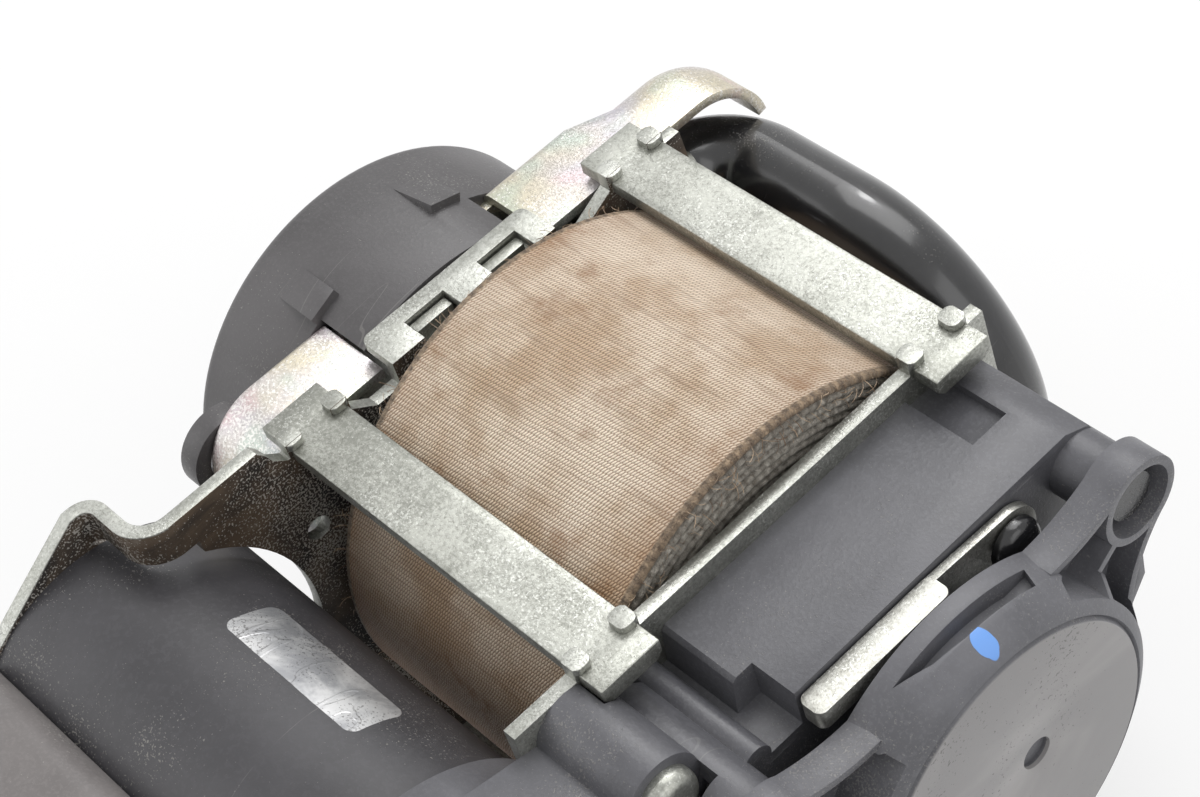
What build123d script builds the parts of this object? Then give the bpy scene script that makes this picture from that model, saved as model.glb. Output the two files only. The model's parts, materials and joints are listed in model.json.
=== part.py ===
"""Motorised seat belt retractor: frame, webbing roll, gear drive, spring cassette, lock and belt tensioner.

X runs along the spool towards the spring cassette, Y from the motor to the tensioner tube, and Z up
through the open side of the frame. The origin is the middle of the frame's mounting face.
"""
from build123d import *
from math import acos, asin, atan2, cos, degrees, hypot, pi, radians, sin, sqrt, tan
import os

os.makedirs("parts", exist_ok=True)

# Webbing and spool
web_width = 47.0
web_radius = 36.4
web_shift = 1.1            # the roll sits a little towards the gear side
core_radius = 11.0
torsion_radius = 4.0
torsion_waist = 3.4
flange_radius = 18.0
flange_thick = 1.8
flange_gap = 0.6           # spool flange to the cheek
roll_clearance = 2.7       # roll to back plate
running = 0.05             # radial clearance of every running fit
seat_gap = 0.3             # air between pieces that move past each other

# Frame
sheet = 2.0
cheek_gap = 52.0           # between the cheeks' inner faces
plate_half = 38.0          # back plate, from the spool axis to its front and rear edges
tongue_x = -17.0           # mounting tongue and its bolt hole
tongue_y = 62.0
tongue_radius = 11.0
bolt_hole_radius = 5.6
cheek_rear = 36.0
cheek_front = 43.0
cheek_drop = 1.2           # cheek edge below the bars' top faces
bar_rise = 30.4            # bars' top faces above the spool axis
bar_pitch = 56.2
bar_width = 9.3
bar_thick = 3.0
bar_length = 64.2
bar_chamfer = 1.0
claw_pitch = 8.4           # between the two claws beside each bar end
claw_width = 1.8
claw_rise = 1.1
claw_head = 2.8
claw_head_pitch = 7.4
tab_reach = 4.9            # bent tab beyond the left cheek
tab_front = -15.4
tab_rear = 13.4
tab_thick = 1.5
tab_dip = 3.0
window_width = 6.8
window_pitch = 12.8
window_reach = 2.3         # window beyond the left cheek
window_depth = 4.2
wing_front = -48.6
wing_back = -37.0          # where the wing's raised edge starts to drop to the cheek's
wing_jog_y = -55.1         # where the wing's strip turns towards the motor's end plate
wing_top = 75.0
wing_web = 5.6
wing_bend = 4.6
end_bend = 2.6
wing_hole_radius = 1.8
wing_hole_y = -33.8
wing_hole_z = 56.4
end_slope = 31.0           # slope of the end plate's top edge, degrees
end_front = -80.0
end_foot = 26.0

# Motor
motor_y = -61.6
motor_z = 47.4
motor_radius = 21.5
motor_left = -37.3
motor_gap = 2.2            # motor to the frame's arch
can_wall = 1.5
end_cap_thick = 2.0
motor_boss_radius = 7.0
motor_boss_length = 3.0
motor_shaft_radius = 2.5
magnet_thick = 3.5
magnet_start = 8.0         # from the motor's left end to the magnets
magnet_over = 2.0          # magnets beyond each end of the rotor
pole_gap = 8.0             # between the two magnets
rotor_gap = 1.0
rotor_length = 42.0
rotor_slots = 9
end_screw_pitch = 30.0
end_screw_radius = 1.7
end_screw_head = 3.2
end_screw_height = 1.8

# Gear train
module_mm = 1.0
ring_teeth = 44
small_teeth = 28
large_teeth = 50
pinion_teeth = 14
pressure = 20.0
tooth_share = 0.84         # tooth thickness over its nominal, for backlash
addendum = 0.9
dedendum = 1.2
gear_width = 5.0
ring_plane = 31.0
gear_step = 7.0            # from the ring gear's plane to the large gear's plane
hub_radius = 5.5
neck_radius = 10.0
bush_radius = 13.0
idler_pin_radius = 2.5

# Gear housing
housing_wall = 1.6
housing_top = 67.0
housing_outer = 46.8
housing_rear = 39.4
housing_foot = 2.4
step_y = -20.6
notch_y = -17.4            # the top's outer strip ends earlier
notch_x = 40.0
step_floor = 61.0
rib_y = -24.6
rib_radius = 2.2
rib_pitch = 4.9
slot_y = 24.4
slot_width = 6.0
slot_end = 39.0
slot_depth = 1.2
shoulder_y = -35.5
shoulder_z = 65.0
shoulder_radius = 5.5
socket_reach = 5.0
socket_wall = 1.8
housing_screw_radius = 2.2
housing_screw_head = 4.0

# Spring cassette
cover_inner = 52.0
cover_front = 61.2
cover_wall = 1.6
cassette_thick = 0.9
neck_boss_radius = 14.0
drum_radius = 26.4
drum_draft = 0.5           # the drum is this much wider at its seat
drum_bore = 22.2
rim_width = 4.3            # from the drum's side to the disc
rim_drop = 3.9             # from the disc's face back to where the rim's cone starts
dimple_y = 4.5             # small sink mark beside the disc's middle
dimple_radius = 2.3
dimple_depth = 1.0
disc_dish = 0.8
ear_y = 30.0
ear_rise = 19.9
ear_radius = 6.2
ear_hole_radius = 5.0
ear_depth = 4.8
ear_floor = 1.2
ear_wall = 1.1
pocket_cut = 2.0           # pockets beside the ears, into the drum's side
recess_left = 54.5         # crescent recess in the drum's top
recess_right = 57.2
recess_back = 12.5
recess_tip = -9.5
ear_screw_radius = 1.8
ear_screw_head = 3.4
ear_screw_height = 2.2
arbor_radius = 5.0
spring_turns = 7
spring_strip = 0.5
spring_pitch = 2.0

# Clutch lever in the gap behind the cassette
lever_plane = 47.1
lever_thick = 1.2
lever_pivot_y = 16.6
lever_pivot_z = 60.8
lever_radius = 4.6
lever_pin_radius = 2.2
lever_head_radius = 3.7
lever_head_height = 2.0
lever_end_y = -17.5
lever_knee_y = 2.5
lever_bar = 3.8
lever_top = 66.2

# Tensioner: bracket, ball guide, drive wheel and tube
bracket_plane = -42.6
bracket_sheet = 1.5
bracket_top = 68.2
bracket_front = -38.2
bracket_corner = 10.0
bracket_rear = 30.0
bracket_inner = -29.5
bracket_bend = 2.0         # outer radius between plate and rim, behind the gate
bracket_round = 1.2        # and before it
bracket_gate_front = -15.4
bracket_gate_rear = 13.6
hood_bend = 7.0            # the bend widens towards the hood over the tube's elbow
hood_from = 28.5
hood_full = 36.0
curl_radius = 11.5
curl_y = 42.0
curl_sweep = 81.5
guide_radius = 27.4
entry_straight = 0.2       # straight length of tube between the ball guide and the elbow
entry_round = 2.0
ball_radius = 4.6
ball_path = 19.0
ball_gap = 0.15
wheel_pockets = 12
lug_width = 6.0
lug_thick = 1.7
lug_rise = 70.6
tube_x = -34.0
tube_y = 47.6
tube_z = 52.8
tube_radius = 7.0
tube_bore = 5.0
elbow_radius = 9.2
arch_radius = 24.0
tube_right = 14.3
tube_foot = 20.0
ball_count = 6
generator_radius = 8.0
generator_length = 13.0
generator_socket = 5.2
generator_depth = 7.0

# Mechanism cover on the left, with the lock's control wheel and the vehicle sensor
cap_y = -1.9
cap_z = 40.3
cap_radius = 31.4
cap_end = -59.0
cap_wall = 1.8
cap_round = 2.0
cap_lip = -33.4            # how far the cover reaches through the bracket's gate
cap_lip_from = 65.0
cap_lip_sweep = 50.0
cap_ear_y = -33.9
cap_ear_z = 59.3
cap_ear_radius = 6.3
cap_ear_hole = 3.9
cap_ear_thick = 3.4
gusset_height = 1.3
gusset_length = 10.0
gusset_width = 5.0
control_radius = 12.0
control_depth = 1.4
control_plane = -46.5
control_width = 2.0
sensor_left = -57.0
sensor_half = 6.4
sensor_foot = 26.2
sensor_ball_radius = 4.8
sensor_ball_drop = 20.6
sensor_pin_y = 8.4
sensor_pin_drop = 14.4
sensor_pin_radius = 0.9
feeler_thick = 1.2
feeler_tip = 1.6

# Lock
ratchet_teeth = 24
ratchet_radius = 22.4
tooth_depth = 2.2
base_radius = 17.0
base_hub_radius = 8.0
pawl_pivot = 13.0
pawl_pin = 2.0
pawl_boss = 3.2
pawl_travel = 11.0

# Control unit
unit_top = 67.5
unit_edge = -76.0
unit_front = -99.0
unit_foot = 24.0
unit_round = 5.0
unit_left = -36.8
unit_right = 22.6
plug_width = 16.0
plug_height = 11.0
plug_depth = 12.0
plug_mouth = 6.0           # from the socket's edge to its terminals
plug_in = 3.0              # socket's place from the unit's outer and lower faces
plug_up = 4.0
terminal_size = 0.9
terminal_pitch = 3.0

# Sizes that follow from the ones above
axis_z = sheet + roll_clearance + web_radius
bar_top = axis_z + bar_rise
cheek_in = cheek_gap / 2
cheek_out = cheek_in + sheet
cheek_top = bar_top - cheek_drop
bar_half = bar_width / 2
bar_y = bar_pitch / 2
web_left = web_shift - web_width / 2
web_right = web_shift + web_width / 2
end_plane = motor_left - sheet
motor_right = cheek_out
bracket_face = bracket_plane + bracket_sheet
ear_z = axis_z + ear_rise
cassette_back = cover_inner - cassette_thick
sensor_right = bracket_plane
boss_radius = ear_radius - 1.6
curl_z = bracket_top - curl_radius
disc_radius = drum_radius - rim_width
recess_floor = drum_bore + cover_wall
rotor_radius = motor_radius - can_wall - magnet_thick - rotor_gap
guide_entry = tube_y - elbow_radius - entry_straight
half_turn = 180.0


def across(x):
    """The plane square to the spool at x, with Y and Z as its own axes."""
    return Plane.YZ.offset(x)


def finish(piece, name):
    """Label one piece and write it out."""
    piece.part.label = name
    export_step(piece.part, f"parts/{name}.step")
    print(name, len(piece.part.solids()), round(piece.part.volume, 1))


def ring(x, length, outer, inner=0, y=0, z=axis_z):
    """Add a disc or ring square to the spool to the part being built."""
    with BuildSketch(across(x)) as face:
        with Locations((y, z)):
            Circle(outer)
            if inner:
                Circle(inner, mode=Mode.SUBTRACT)
    extrude(face.sketch, amount=length)


def bore(x, length, radius, y=0, z=axis_z):
    """Cut a round hole along the spool's direction in the part being built."""
    with BuildSketch(across(x)) as face:
        with Locations((y, z)):
            Circle(radius)
    extrude(face.sketch, amount=length, mode=Mode.SUBTRACT)


def involute(angle):
    return tan(angle) - angle


def tooth_points(teeth, turn):
    """Corner points of a spur gear's outline, with one tooth centred on the direction turn in degrees."""
    pitch_radius = module_mm * teeth / 2
    base = pitch_radius * cos(radians(pressure))
    quarter_pitch = pi / 2 / teeth * tooth_share

    def half_angle(radius):
        here = acos(base / max(radius, base))
        return quarter_pitch + involute(radians(pressure)) - involute(here)

    radii = [pitch_radius - dedendum * module_mm, pitch_radius, pitch_radius + addendum * module_mm]
    flank = [(radius, half_angle(radius)) for radius in radii]
    points = []
    for tooth in range(teeth):
        middle = radians(turn) + 2 * pi * tooth / teeth
        for radius, half in flank:
            points.append((radius * cos(middle - half), radius * sin(middle - half)))
        for radius, half in reversed(flank):
            points.append((radius * cos(middle + half), radius * sin(middle + half)))
    return points


def gear(x, teeth, turn, y, z):
    """Add one spur gear to the part being built."""
    with BuildSketch(across(x)) as face:
        with Locations((y, z)):
            Polygon(*tooth_points(teeth, turn), align=None)
    extrude(face.sketch, amount=gear_width)


# Where the compound idler sits: below the line from the spool to the motor
ring_to_idler = module_mm * (ring_teeth + small_teeth) / 2
idler_to_motor = module_mm * (large_teeth + pinion_teeth) / 2
drive_span = hypot(motor_y, motor_z - axis_z)
to_motor_y = motor_y / drive_span
to_motor_z = (motor_z - axis_z) / drive_span
along = (ring_to_idler**2 - idler_to_motor**2 + drive_span**2) / (2 * drive_span)
below = sqrt(ring_to_idler**2 - along**2)
idler_y = along * to_motor_y - below * to_motor_z
idler_z = axis_z + along * to_motor_z + below * to_motor_y
spool_to_idler = degrees(atan2(idler_z - axis_z, idler_y))
idler_to_pinion = degrees(atan2(motor_z - idler_z, motor_y - idler_y))
large_plane = ring_plane + gear_step

# Frame: back plate with its tongue, two cheeks, the bent tab, the wing over the motor and its end plate
with BuildSketch() as tongue:
    with Locations((tongue_x, tongue_y)):
        Circle(tongue_radius)
    with Locations((tongue_x, plate_half)):
        Rectangle(2 * tongue_radius - 1, 2)
    make_hull()

with BuildPart() as frame:
    with BuildSketch(Plane.XY):
        Rectangle(2 * cheek_out, 2 * plate_half)
        add(tongue.sketch)
        with Locations((tongue_x, tongue_y)):
            Circle(bolt_hole_radius, mode=Mode.SUBTRACT)
    extrude(amount=sheet)
    with BuildSketch(across(cheek_in)):
        with BuildLine():
            Polyline(
                (-plate_half, 0),
                (-plate_half, axis_z),
                (-cheek_front, cheek_top - 8),
                (-cheek_front, cheek_top),
                (cheek_rear, cheek_top),
                (plate_half, axis_z),
                (plate_half, 0),
                close=True,
            )
        make_face()
        with Locations((0, axis_z)):
            Circle(bush_radius, mode=Mode.SUBTRACT)
        with Locations((motor_y, motor_z)):
            Circle(motor_radius + socket_wall + seat_gap, mode=Mode.SUBTRACT)
    extrude(amount=sheet)
    with BuildSketch(across(-cheek_out)):
        with BuildLine():
            Polyline(
                (-plate_half, 0),
                (-plate_half, axis_z),
                (wing_front, axis_z),
                (wing_front, wing_top),
                (wing_back, wing_top),
                (wing_back + 1, wing_top - 1.5),
                (wing_back + 1.6, wing_top - 3.1),
                (wing_back + 3.4, cheek_top),
                (-bar_y + bar_half, cheek_top),
                (tab_front - 4, cheek_top - tab_dip),
                (tab_front, cheek_top - tab_dip),
                (tab_front, bar_top),
                (tab_rear, bar_top),
                (tab_rear, cheek_top - tab_dip),
                (tab_rear + 4, cheek_top - tab_dip),
                (bar_y - bar_half, cheek_top),
                (cheek_rear, cheek_top),
                (plate_half, axis_z),
                (plate_half, 0),
                close=True,
            )
        make_face()
        with Locations((motor_y, motor_z)):
            Circle(motor_radius + motor_gap, mode=Mode.SUBTRACT)
        with Locations((wing_hole_y, wing_hole_z)):
            Circle(wing_hole_radius, mode=Mode.SUBTRACT)
        with Locations((0, axis_z)):
            Circle(ratchet_radius - tooth_depth, mode=Mode.SUBTRACT)
            with PolarLocations(ratchet_radius - tooth_depth, ratchet_teeth):
                Polygon((-0.4, -2.4), (tooth_depth, 1.6), (-0.4, 1.6), align=None, mode=Mode.SUBTRACT)
    extrude(amount=sheet)
    with BuildSketch(Plane.XY.offset(bar_top)):
        with Locations((-cheek_in - (sheet + tab_reach) / 2, (tab_front + tab_rear) / 2)):
            RectangleRounded(sheet + tab_reach, tab_rear - tab_front, 1.4)
    extrude(amount=-tab_thick)
    with BuildSketch(Plane.XY.offset(bar_top)):
        with Locations((-cheek_in - (sheet + window_reach) / 2, 0)):
            with GridLocations(0, window_pitch, 1, 2):
                Rectangle(sheet + window_reach, window_width)
    extrude(amount=-window_depth, mode=Mode.SUBTRACT)
    with BuildSketch(across(end_plane)):
        with BuildLine():
            Polyline(
                (wing_jog_y - end_bend, wing_top),
                (wing_jog_y - end_bend - 1, wing_top),
                (end_front, wing_top + (end_front - wing_jog_y + 3) * tan(radians(end_slope))),
                (end_front, motor_z - 8),
                (motor_y - 8, end_foot),
                (motor_y + 8, end_foot),
                (wing_jog_y + 9, motor_z - 6),
                (wing_jog_y + 1, wing_top - 9),
                (wing_jog_y - end_bend, wing_top - 6),
                close=True,
            )
        make_face()
        with Locations((motor_y, motor_z)):
            Circle(motor_boss_radius + seat_gap, mode=Mode.SUBTRACT)
            with PolarLocations(end_screw_pitch / 2, 2, 45):
                Circle(end_screw_radius + running, mode=Mode.SUBTRACT)
    extrude(amount=sheet)
    with BuildSketch(Plane.XY.offset(wing_top)):
        with BuildLine():
            FilletPolyline(
                (-cheek_in - sheet / 2, wing_front + 1),
                (-cheek_in - sheet / 2, wing_jog_y),
                (end_plane + sheet / 2, wing_jog_y),
                (end_plane + sheet / 2, wing_jog_y - end_bend - 1),
                radius=[wing_bend, end_bend],
            )
        trace(line_width=sheet)
    extrude(amount=-wing_web)
    with BuildSketch(Plane.XY.offset(bar_top - bar_thick)):
        with GridLocations(2 * cheek_in + sheet, bar_pitch, 2, 2):
            Rectangle(2 * sheet, bar_width)
    extrude(amount=bar_thick + claw_rise, mode=Mode.SUBTRACT)
    with BuildSketch(Plane.XY.offset(bar_top - bar_thick)):
        with GridLocations(2 * cheek_in + sheet, bar_pitch, 2, 2):
            with GridLocations(0, claw_pitch, 1, 2):
                Rectangle(sheet, claw_width)
    extrude(amount=bar_thick + claw_rise)
    with BuildSketch(Plane.XY.offset(bar_top)):
        with GridLocations(2 * cheek_in + sheet, bar_pitch, 2, 2):
            with GridLocations(0, claw_head_pitch, 1, 2):
                RectangleRounded(sheet + claw_rise, claw_head, 1)
    extrude(amount=claw_rise)
finish(frame, "frame")

# Tie bars across the frame's open side
for name, side in (("tie_bar_front", -1), ("tie_bar_rear", 1)):
    with BuildPart() as bar:
        with BuildSketch(Plane.XY.offset(bar_top - bar_thick)):
            with Locations((0, side * bar_y)):
                Rectangle(bar_length, bar_width)
        extrude(amount=bar_thick)
        chamfer(bar.edges().group_by(Axis.Z)[0].filter_by(Axis.X), bar_chamfer)
        with BuildSketch(Plane.XY.offset(bar_top - bar_thick)):
            with Locations((0, side * bar_y)):
                with GridLocations(2 * cheek_in + sheet, claw_pitch + claw_width, 2, 2):
                    Rectangle(sheet, 2 * claw_width)
        extrude(amount=bar_thick, mode=Mode.SUBTRACT)
    finish(bar, name)

# Spool with its flange, its neck in the right cheek and its hub for the drive
with BuildPart() as spool:
    ring(-cheek_in + flange_gap, flange_thick, flange_radius)
    ring(-cheek_in + flange_gap, web_right + seat_gap + cheek_in - flange_gap, core_radius)
    ring(web_right, ring_plane - seat_gap - web_right, neck_radius)
    ring(ring_plane - seat_gap, housing_outer - ring_plane + seat_gap, hub_radius)
    bore(-cheek_out, cheek_out + web_right - 4, torsion_radius)
    bore(-cheek_out, sheet + flange_gap + flange_thick, pawl_pin + running, 0, axis_z - pawl_pivot)
finish(spool, "spool")

# Torsion bar inside the spool
with BuildPart() as torsion_bar:
    ring(-cheek_in + flange_gap, 8, torsion_radius)
    ring(-cheek_in + flange_gap + 8, web_right + cheek_in - flange_gap - 20, torsion_waist)
    ring(web_right - 12, 8, torsion_radius)
finish(torsion_bar, "torsion_bar")

# Webbing wound on the spool
with BuildPart() as webbing_roll:
    ring(web_left, web_width, web_radius, core_radius)
finish(webbing_roll, "webbing_roll")

# Bush between the spool's neck and the right cheek
with BuildPart() as bush:
    ring(cheek_in, sheet, bush_radius, neck_radius + running)
finish(bush, "spool_bush")

# Lock: base turning with the spool, and the pawl that swings into the cheek's teeth
lock_plane = -cheek_out - seat_gap
with BuildPart() as lock_base:
    ring(lock_plane - sheet, sheet, base_radius)
    ring(lock_plane, seat_gap + sheet + flange_gap, base_hub_radius)
finish(lock_base, "lock_base")

pawl_plane = Plane(
    origin=(-cheek_out, 0, axis_z - pawl_pivot),
    x_dir=(0, cos(radians(pawl_travel)), sin(radians(pawl_travel))),
    z_dir=(1, 0, 0),
)
with BuildPart() as lock_pawl:
    with BuildSketch(pawl_plane):
        Circle(pawl_boss)
        with BuildLine():
            Polyline(
                (0, -pawl_boss), (6, -4), (12.2, -2.6), (15.15, -1.9),
                (13.4, 1.2), (8, 2.6), (0, pawl_boss), close=True,
            )
        make_face()
    extrude(amount=sheet)
    ring(-cheek_out, sheet + flange_gap + flange_thick, pawl_pin, 0, 0, axis_z - pawl_pivot)
finish(lock_pawl, "lock_pawl")

# Drive wheel of the tensioner, with a pocket for every ball
wheel_left = bracket_face + seat_gap
wheel_right = lock_plane - sheet
with BuildPart() as drive_wheel:
    with BuildSketch(across(wheel_left)):
        with Locations((0, axis_z)):
            Circle(ball_path)
            with PolarLocations(ball_path, wheel_pockets):
                Circle(ball_radius + ball_gap, mode=Mode.SUBTRACT)
    extrude(amount=wheel_right - wheel_left)
    ring(control_plane, wheel_left - control_plane, hub_radius)
finish(drive_wheel, "drive_wheel")

# Control wheel of the lock, in the mechanism cover
with BuildPart() as control_wheel:
    with BuildSketch(across(control_plane)):
        with Locations((0, axis_z)):
            Circle(control_radius)
            with PolarLocations(control_radius, ratchet_teeth):
                Polygon((0.4, -0.9), (0.4, 0.9), (-control_depth, 0.9), (-control_depth, -0.4),
                        align=None, mode=Mode.SUBTRACT)
            Circle(hub_radius, mode=Mode.SUBTRACT)
    extrude(amount=control_width)
finish(control_wheel, "control_wheel")

# Bush of the drive wheel in the tensioner bracket
with BuildPart() as wheel_bush:
    ring(bracket_plane, bracket_sheet, bush_radius - 4, hub_radius + running)
finish(wheel_bush, "wheel_bush")

# Tensioner bracket: a plate whose rim turns towards the frame and becomes a hood over the tube's elbow
def bent_rim(y, bend):
    """Section of plate, bend and rim in the plane at y."""
    with BuildSketch(Plane.XZ.offset(-y)) as section:
        with BuildLine():
            Polyline(
                (bracket_plane + bracket_sheet, bracket_top - bend),
                (bracket_plane + bracket_sheet, curl_z),
                (bracket_plane, curl_z),
                (bracket_plane, bracket_top - bend),
            )
            CenterArc((bracket_plane + bend, bracket_top - bend), bend, 90, 90)
            Polyline(
                (bracket_plane + bend, bracket_top),
                (bracket_inner, bracket_top),
                (bracket_inner, bracket_top - bracket_sheet),
                (bracket_plane + bend, bracket_top - bracket_sheet),
            )
            CenterArc((bracket_plane + bend, bracket_top - bend), bend - bracket_sheet, 90, 90)
        make_face()
    return section.sketch


with BuildSketch() as bracket_outline:
    with Locations((bracket_front + bracket_corner, bracket_top - bracket_corner)):
        Circle(bracket_corner)
    with Locations((bracket_rear - bracket_corner, bracket_top - bracket_corner)):
        Circle(bracket_corner)
    with Locations((0, axis_z - 3)):
        Circle(guide_radius)
    make_hull()
with BuildSketch() as bracket_rim:
    add(bracket_outline.sketch)
    offset(bracket_outline.sketch, amount=-bracket_sheet, mode=Mode.SUBTRACT)
    with BuildSketch(mode=Mode.INTERSECT):
        with Locations((bracket_front, curl_z)):
            Rectangle(bracket_gate_front - bracket_front, curl_radius, align=(Align.MIN, Align.MIN))
hood_start = bent_rim(hood_from, bracket_bend)
hood_end = bent_rim(hood_full, hood_bend)
with BuildPart() as bracket:
    with BuildSketch(across(bracket_plane)):
        add(bracket_outline.sketch)
        with Locations((0, axis_z)):
            Circle(bush_radius - 4, mode=Mode.SUBTRACT)
        with Locations((bracket_gate_front, bracket_top - bracket_bend)):
            Rectangle(curl_y, bracket_bend, align=(Align.MIN, Align.MIN), mode=Mode.SUBTRACT)
    extrude(amount=bracket_sheet)
    with BuildSketch(across(bracket_face)):
        add(bracket_rim.sketch)
    extrude(amount=bracket_inner - bracket_face)
    outer_edges = bracket.faces().sort_by(Axis.X)[0].edges().group_by(Axis.Z)
    fillet(outer_edges[-1], bracket_round)
    extrude(hood_start, amount=hood_from - bracket_gate_rear)
    loft([hood_start.face(), hood_end.face()], ruled=True)
    extrude(hood_end, amount=hood_full - curl_y)
    hood_last = bent_rim(curl_y, hood_bend)
    revolve(hood_last, axis=Axis((0, curl_y, curl_z), (-1, 0, 0)), revolution_arc=curl_sweep)
finish(bracket, "tensioner_bracket")

# Ball guide round the drive wheel, with two lugs in the frame's tab and the entry for the tube
feed_angle = asin(ball_path / hypot(tube_y, tube_z - axis_z)) - atan2(tube_z - axis_z, tube_y)
guide_left = bracket_face
guide_right = -cheek_out - seat_gap
entry_z = tube_z + (tube_y - guide_entry) * tan(feed_angle)
feed_plane = Plane(
    origin=(tube_x, guide_entry, entry_z),
    x_dir=(1, 0, 0),
    z_dir=(0, -cos(feed_angle), sin(feed_angle)),
)
with BuildPart() as ball_guide:
    ring(guide_left, guide_right - guide_left, guide_radius)
    with BuildSketch(feed_plane):
        with Locations(((guide_left + guide_right) / 2 - tube_x, 0)):
            RectangleRounded(guide_right - guide_left, 2 * tube_radius, entry_round)
    extrude(amount=guide_entry / 2)
    bore(guide_left, guide_right - guide_left, ball_path + ball_radius + ball_gap)
    with BuildSketch(feed_plane):
        Circle(tube_bore)
    extrude(amount=guide_entry, mode=Mode.SUBTRACT)
    with BuildSketch(Plane.XY.offset(axis_z + guide_radius - 3)):
        with Locations((guide_right - lug_thick / 2, 0)):
            with GridLocations(0, window_pitch, 1, 2):
                Rectangle(lug_thick, lug_width)
    extrude(amount=lug_rise - axis_z - guide_radius + 3)
finish(ball_guide, "ball_guide")

# Tensioner tube: out of the guide, round the elbow, over the arch and down behind the roll
with BuildLine() as tube_path:
    FilletPolyline(
        (tube_x, guide_entry, entry_z),
        (tube_x, tube_y, tube_z),
        (tube_right, tube_y, tube_z),
        (tube_right, tube_y, tube_foot),
        radius=[elbow_radius, arch_radius],
    )
tube_wire = tube_path.wire()
with BuildPart() as tube:
    with BuildSketch(Plane(origin=tube_wire @ 0, z_dir=tube_wire % 0)):
        Circle(tube_radius)
        Circle(tube_bore, mode=Mode.SUBTRACT)
    sweep(path=tube_wire)
finish(tube, "tensioner_tube")

# Balls waiting in the tube
ball_spacing = 2 * ball_radius + 4 * ball_gap
with BuildPart() as balls:
    for number in range(ball_count):
        here = ball_spacing * (number + 0.6) / tube_wire.length
        with Locations(tube_wire @ here):
            Sphere(ball_radius)
finish(balls, "tensioner_balls")

# Gas generator at the tube's foot, with its plug socket
with BuildPart() as generator:
    with BuildSketch(Plane.XY.offset(tube_foot)):
        with Locations((tube_right, tube_y)):
            Circle(generator_radius)
    extrude(amount=-generator_length)
    chamfer(generator.edges().group_by(Axis.Z)[-1], 1)
    with BuildSketch(Plane.XY.offset(tube_foot - generator_length)):
        with Locations((tube_right, tube_y)):
            Circle(generator_socket)
    extrude(amount=generator_depth, mode=Mode.SUBTRACT)
    with BuildSketch(Plane.XY.offset(tube_foot)):
        with Locations((tube_right, tube_y)):
            Circle(tube_bore - running)
    extrude(amount=4)
finish(generator, "gas_generator")

# Mechanism cover: a cup over the control wheel, reaching through the bracket's gate, with an ear
with BuildSketch() as cap_ear:
    with Locations((cap_ear_y, cap_ear_z)):
        Circle(cap_ear_radius)
    with Locations(((cap_y + 2 * cap_ear_y) / 3, (cap_z + 2 * cap_ear_z) / 3)):
        Circle(cap_ear_radius - 1)
    make_hull()
    with Locations((cap_ear_y, cap_ear_z)):
        Circle(cap_ear_hole, mode=Mode.SUBTRACT)
lip_start = Plane(
    origin=(0, cap_y, cap_z),
    x_dir=(1, 0, 0),
    z_dir=(0, -sin(radians(cap_lip_from)), cos(radians(cap_lip_from))),
)
with BuildPart() as cap:
    ring(cap_end, bracket_plane - cap_end, cap_radius, 0, cap_y, cap_z)
    fillet(cap.edges().group_by(Axis.X)[0], cap_round)
    with BuildSketch(across(bracket_plane - cap_ear_thick)):
        add(cap_ear.sketch)
    extrude(amount=cap_ear_thick)
    for turn in (72, 112):
        gusset = Plane(
            origin=(bracket_plane, cap_y, cap_z),
            x_dir=(-1, 0, 0),
            z_dir=(0, sin(radians(turn)), -cos(radians(turn))),
        )
        with BuildSketch(gusset):
            Polygon(
                (0, cap_radius - 1),
                (0, cap_radius + gusset_height),
                (gusset_length, cap_radius - 0.4),
                (gusset_length, cap_radius - 1),
                align=None,
            )
        extrude(amount=gusset_width / 2, both=True)
    bore(cap_end + cap_wall, bracket_plane - cap_end, cap_radius - cap_wall, cap_y, cap_z)
    with BuildSketch(lip_start):
        with Locations(((bracket_plane + cap_lip) / 2 - 1, cap_radius - cap_wall / 2)):
            Rectangle(cap_lip - bracket_plane + 2, cap_wall)
    revolve(axis=Axis((0, cap_y, cap_z), (1, 0, 0)), revolution_arc=cap_lip_sweep)
finish(cap, "mechanism_cover")

# Vehicle sensor: seat, ball and the feeler above it
ball_z = axis_z - sensor_ball_drop
pin_z = axis_z - sensor_pin_drop
sensor_middle = (sensor_left + sensor_right) / 2
with BuildPart() as sensor_seat:
    with BuildSketch(across(sensor_left)):
        with BuildLine():
            Polyline(
                (-sensor_half, axis_z - sensor_foot),
                (-sensor_half, ball_z - 2),
                (sensor_half, ball_z - 2),
                (sensor_pin_y - 2, pin_z + 1.8),
                (sensor_pin_y + 1.8, pin_z + 1.8),
                (sensor_pin_y + 1.8, ball_z - 2),
                (sensor_half, axis_z - sensor_foot),
                close=True,
            )
        make_face()
    extrude(amount=sensor_right - sensor_left)
    with BuildSketch(across(sensor_left + 2)):
        with Locations((sensor_pin_y, pin_z + 1)):
            Rectangle(6, 8)
    extrude(amount=sensor_right - sensor_left - 4, mode=Mode.SUBTRACT)
    bore(sensor_left, sensor_right - sensor_left, sensor_pin_radius + running, sensor_pin_y, pin_z)
    with Locations((sensor_middle, 0, ball_z)):
        Sphere(sensor_ball_radius + 0.1, mode=Mode.SUBTRACT)
finish(sensor_seat, "sensor_seat")

with BuildPart() as sensor_ball:
    with Locations((sensor_middle, 0, ball_z)):
        Sphere(sensor_ball_radius)
finish(sensor_ball, "sensor_ball")

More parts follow.
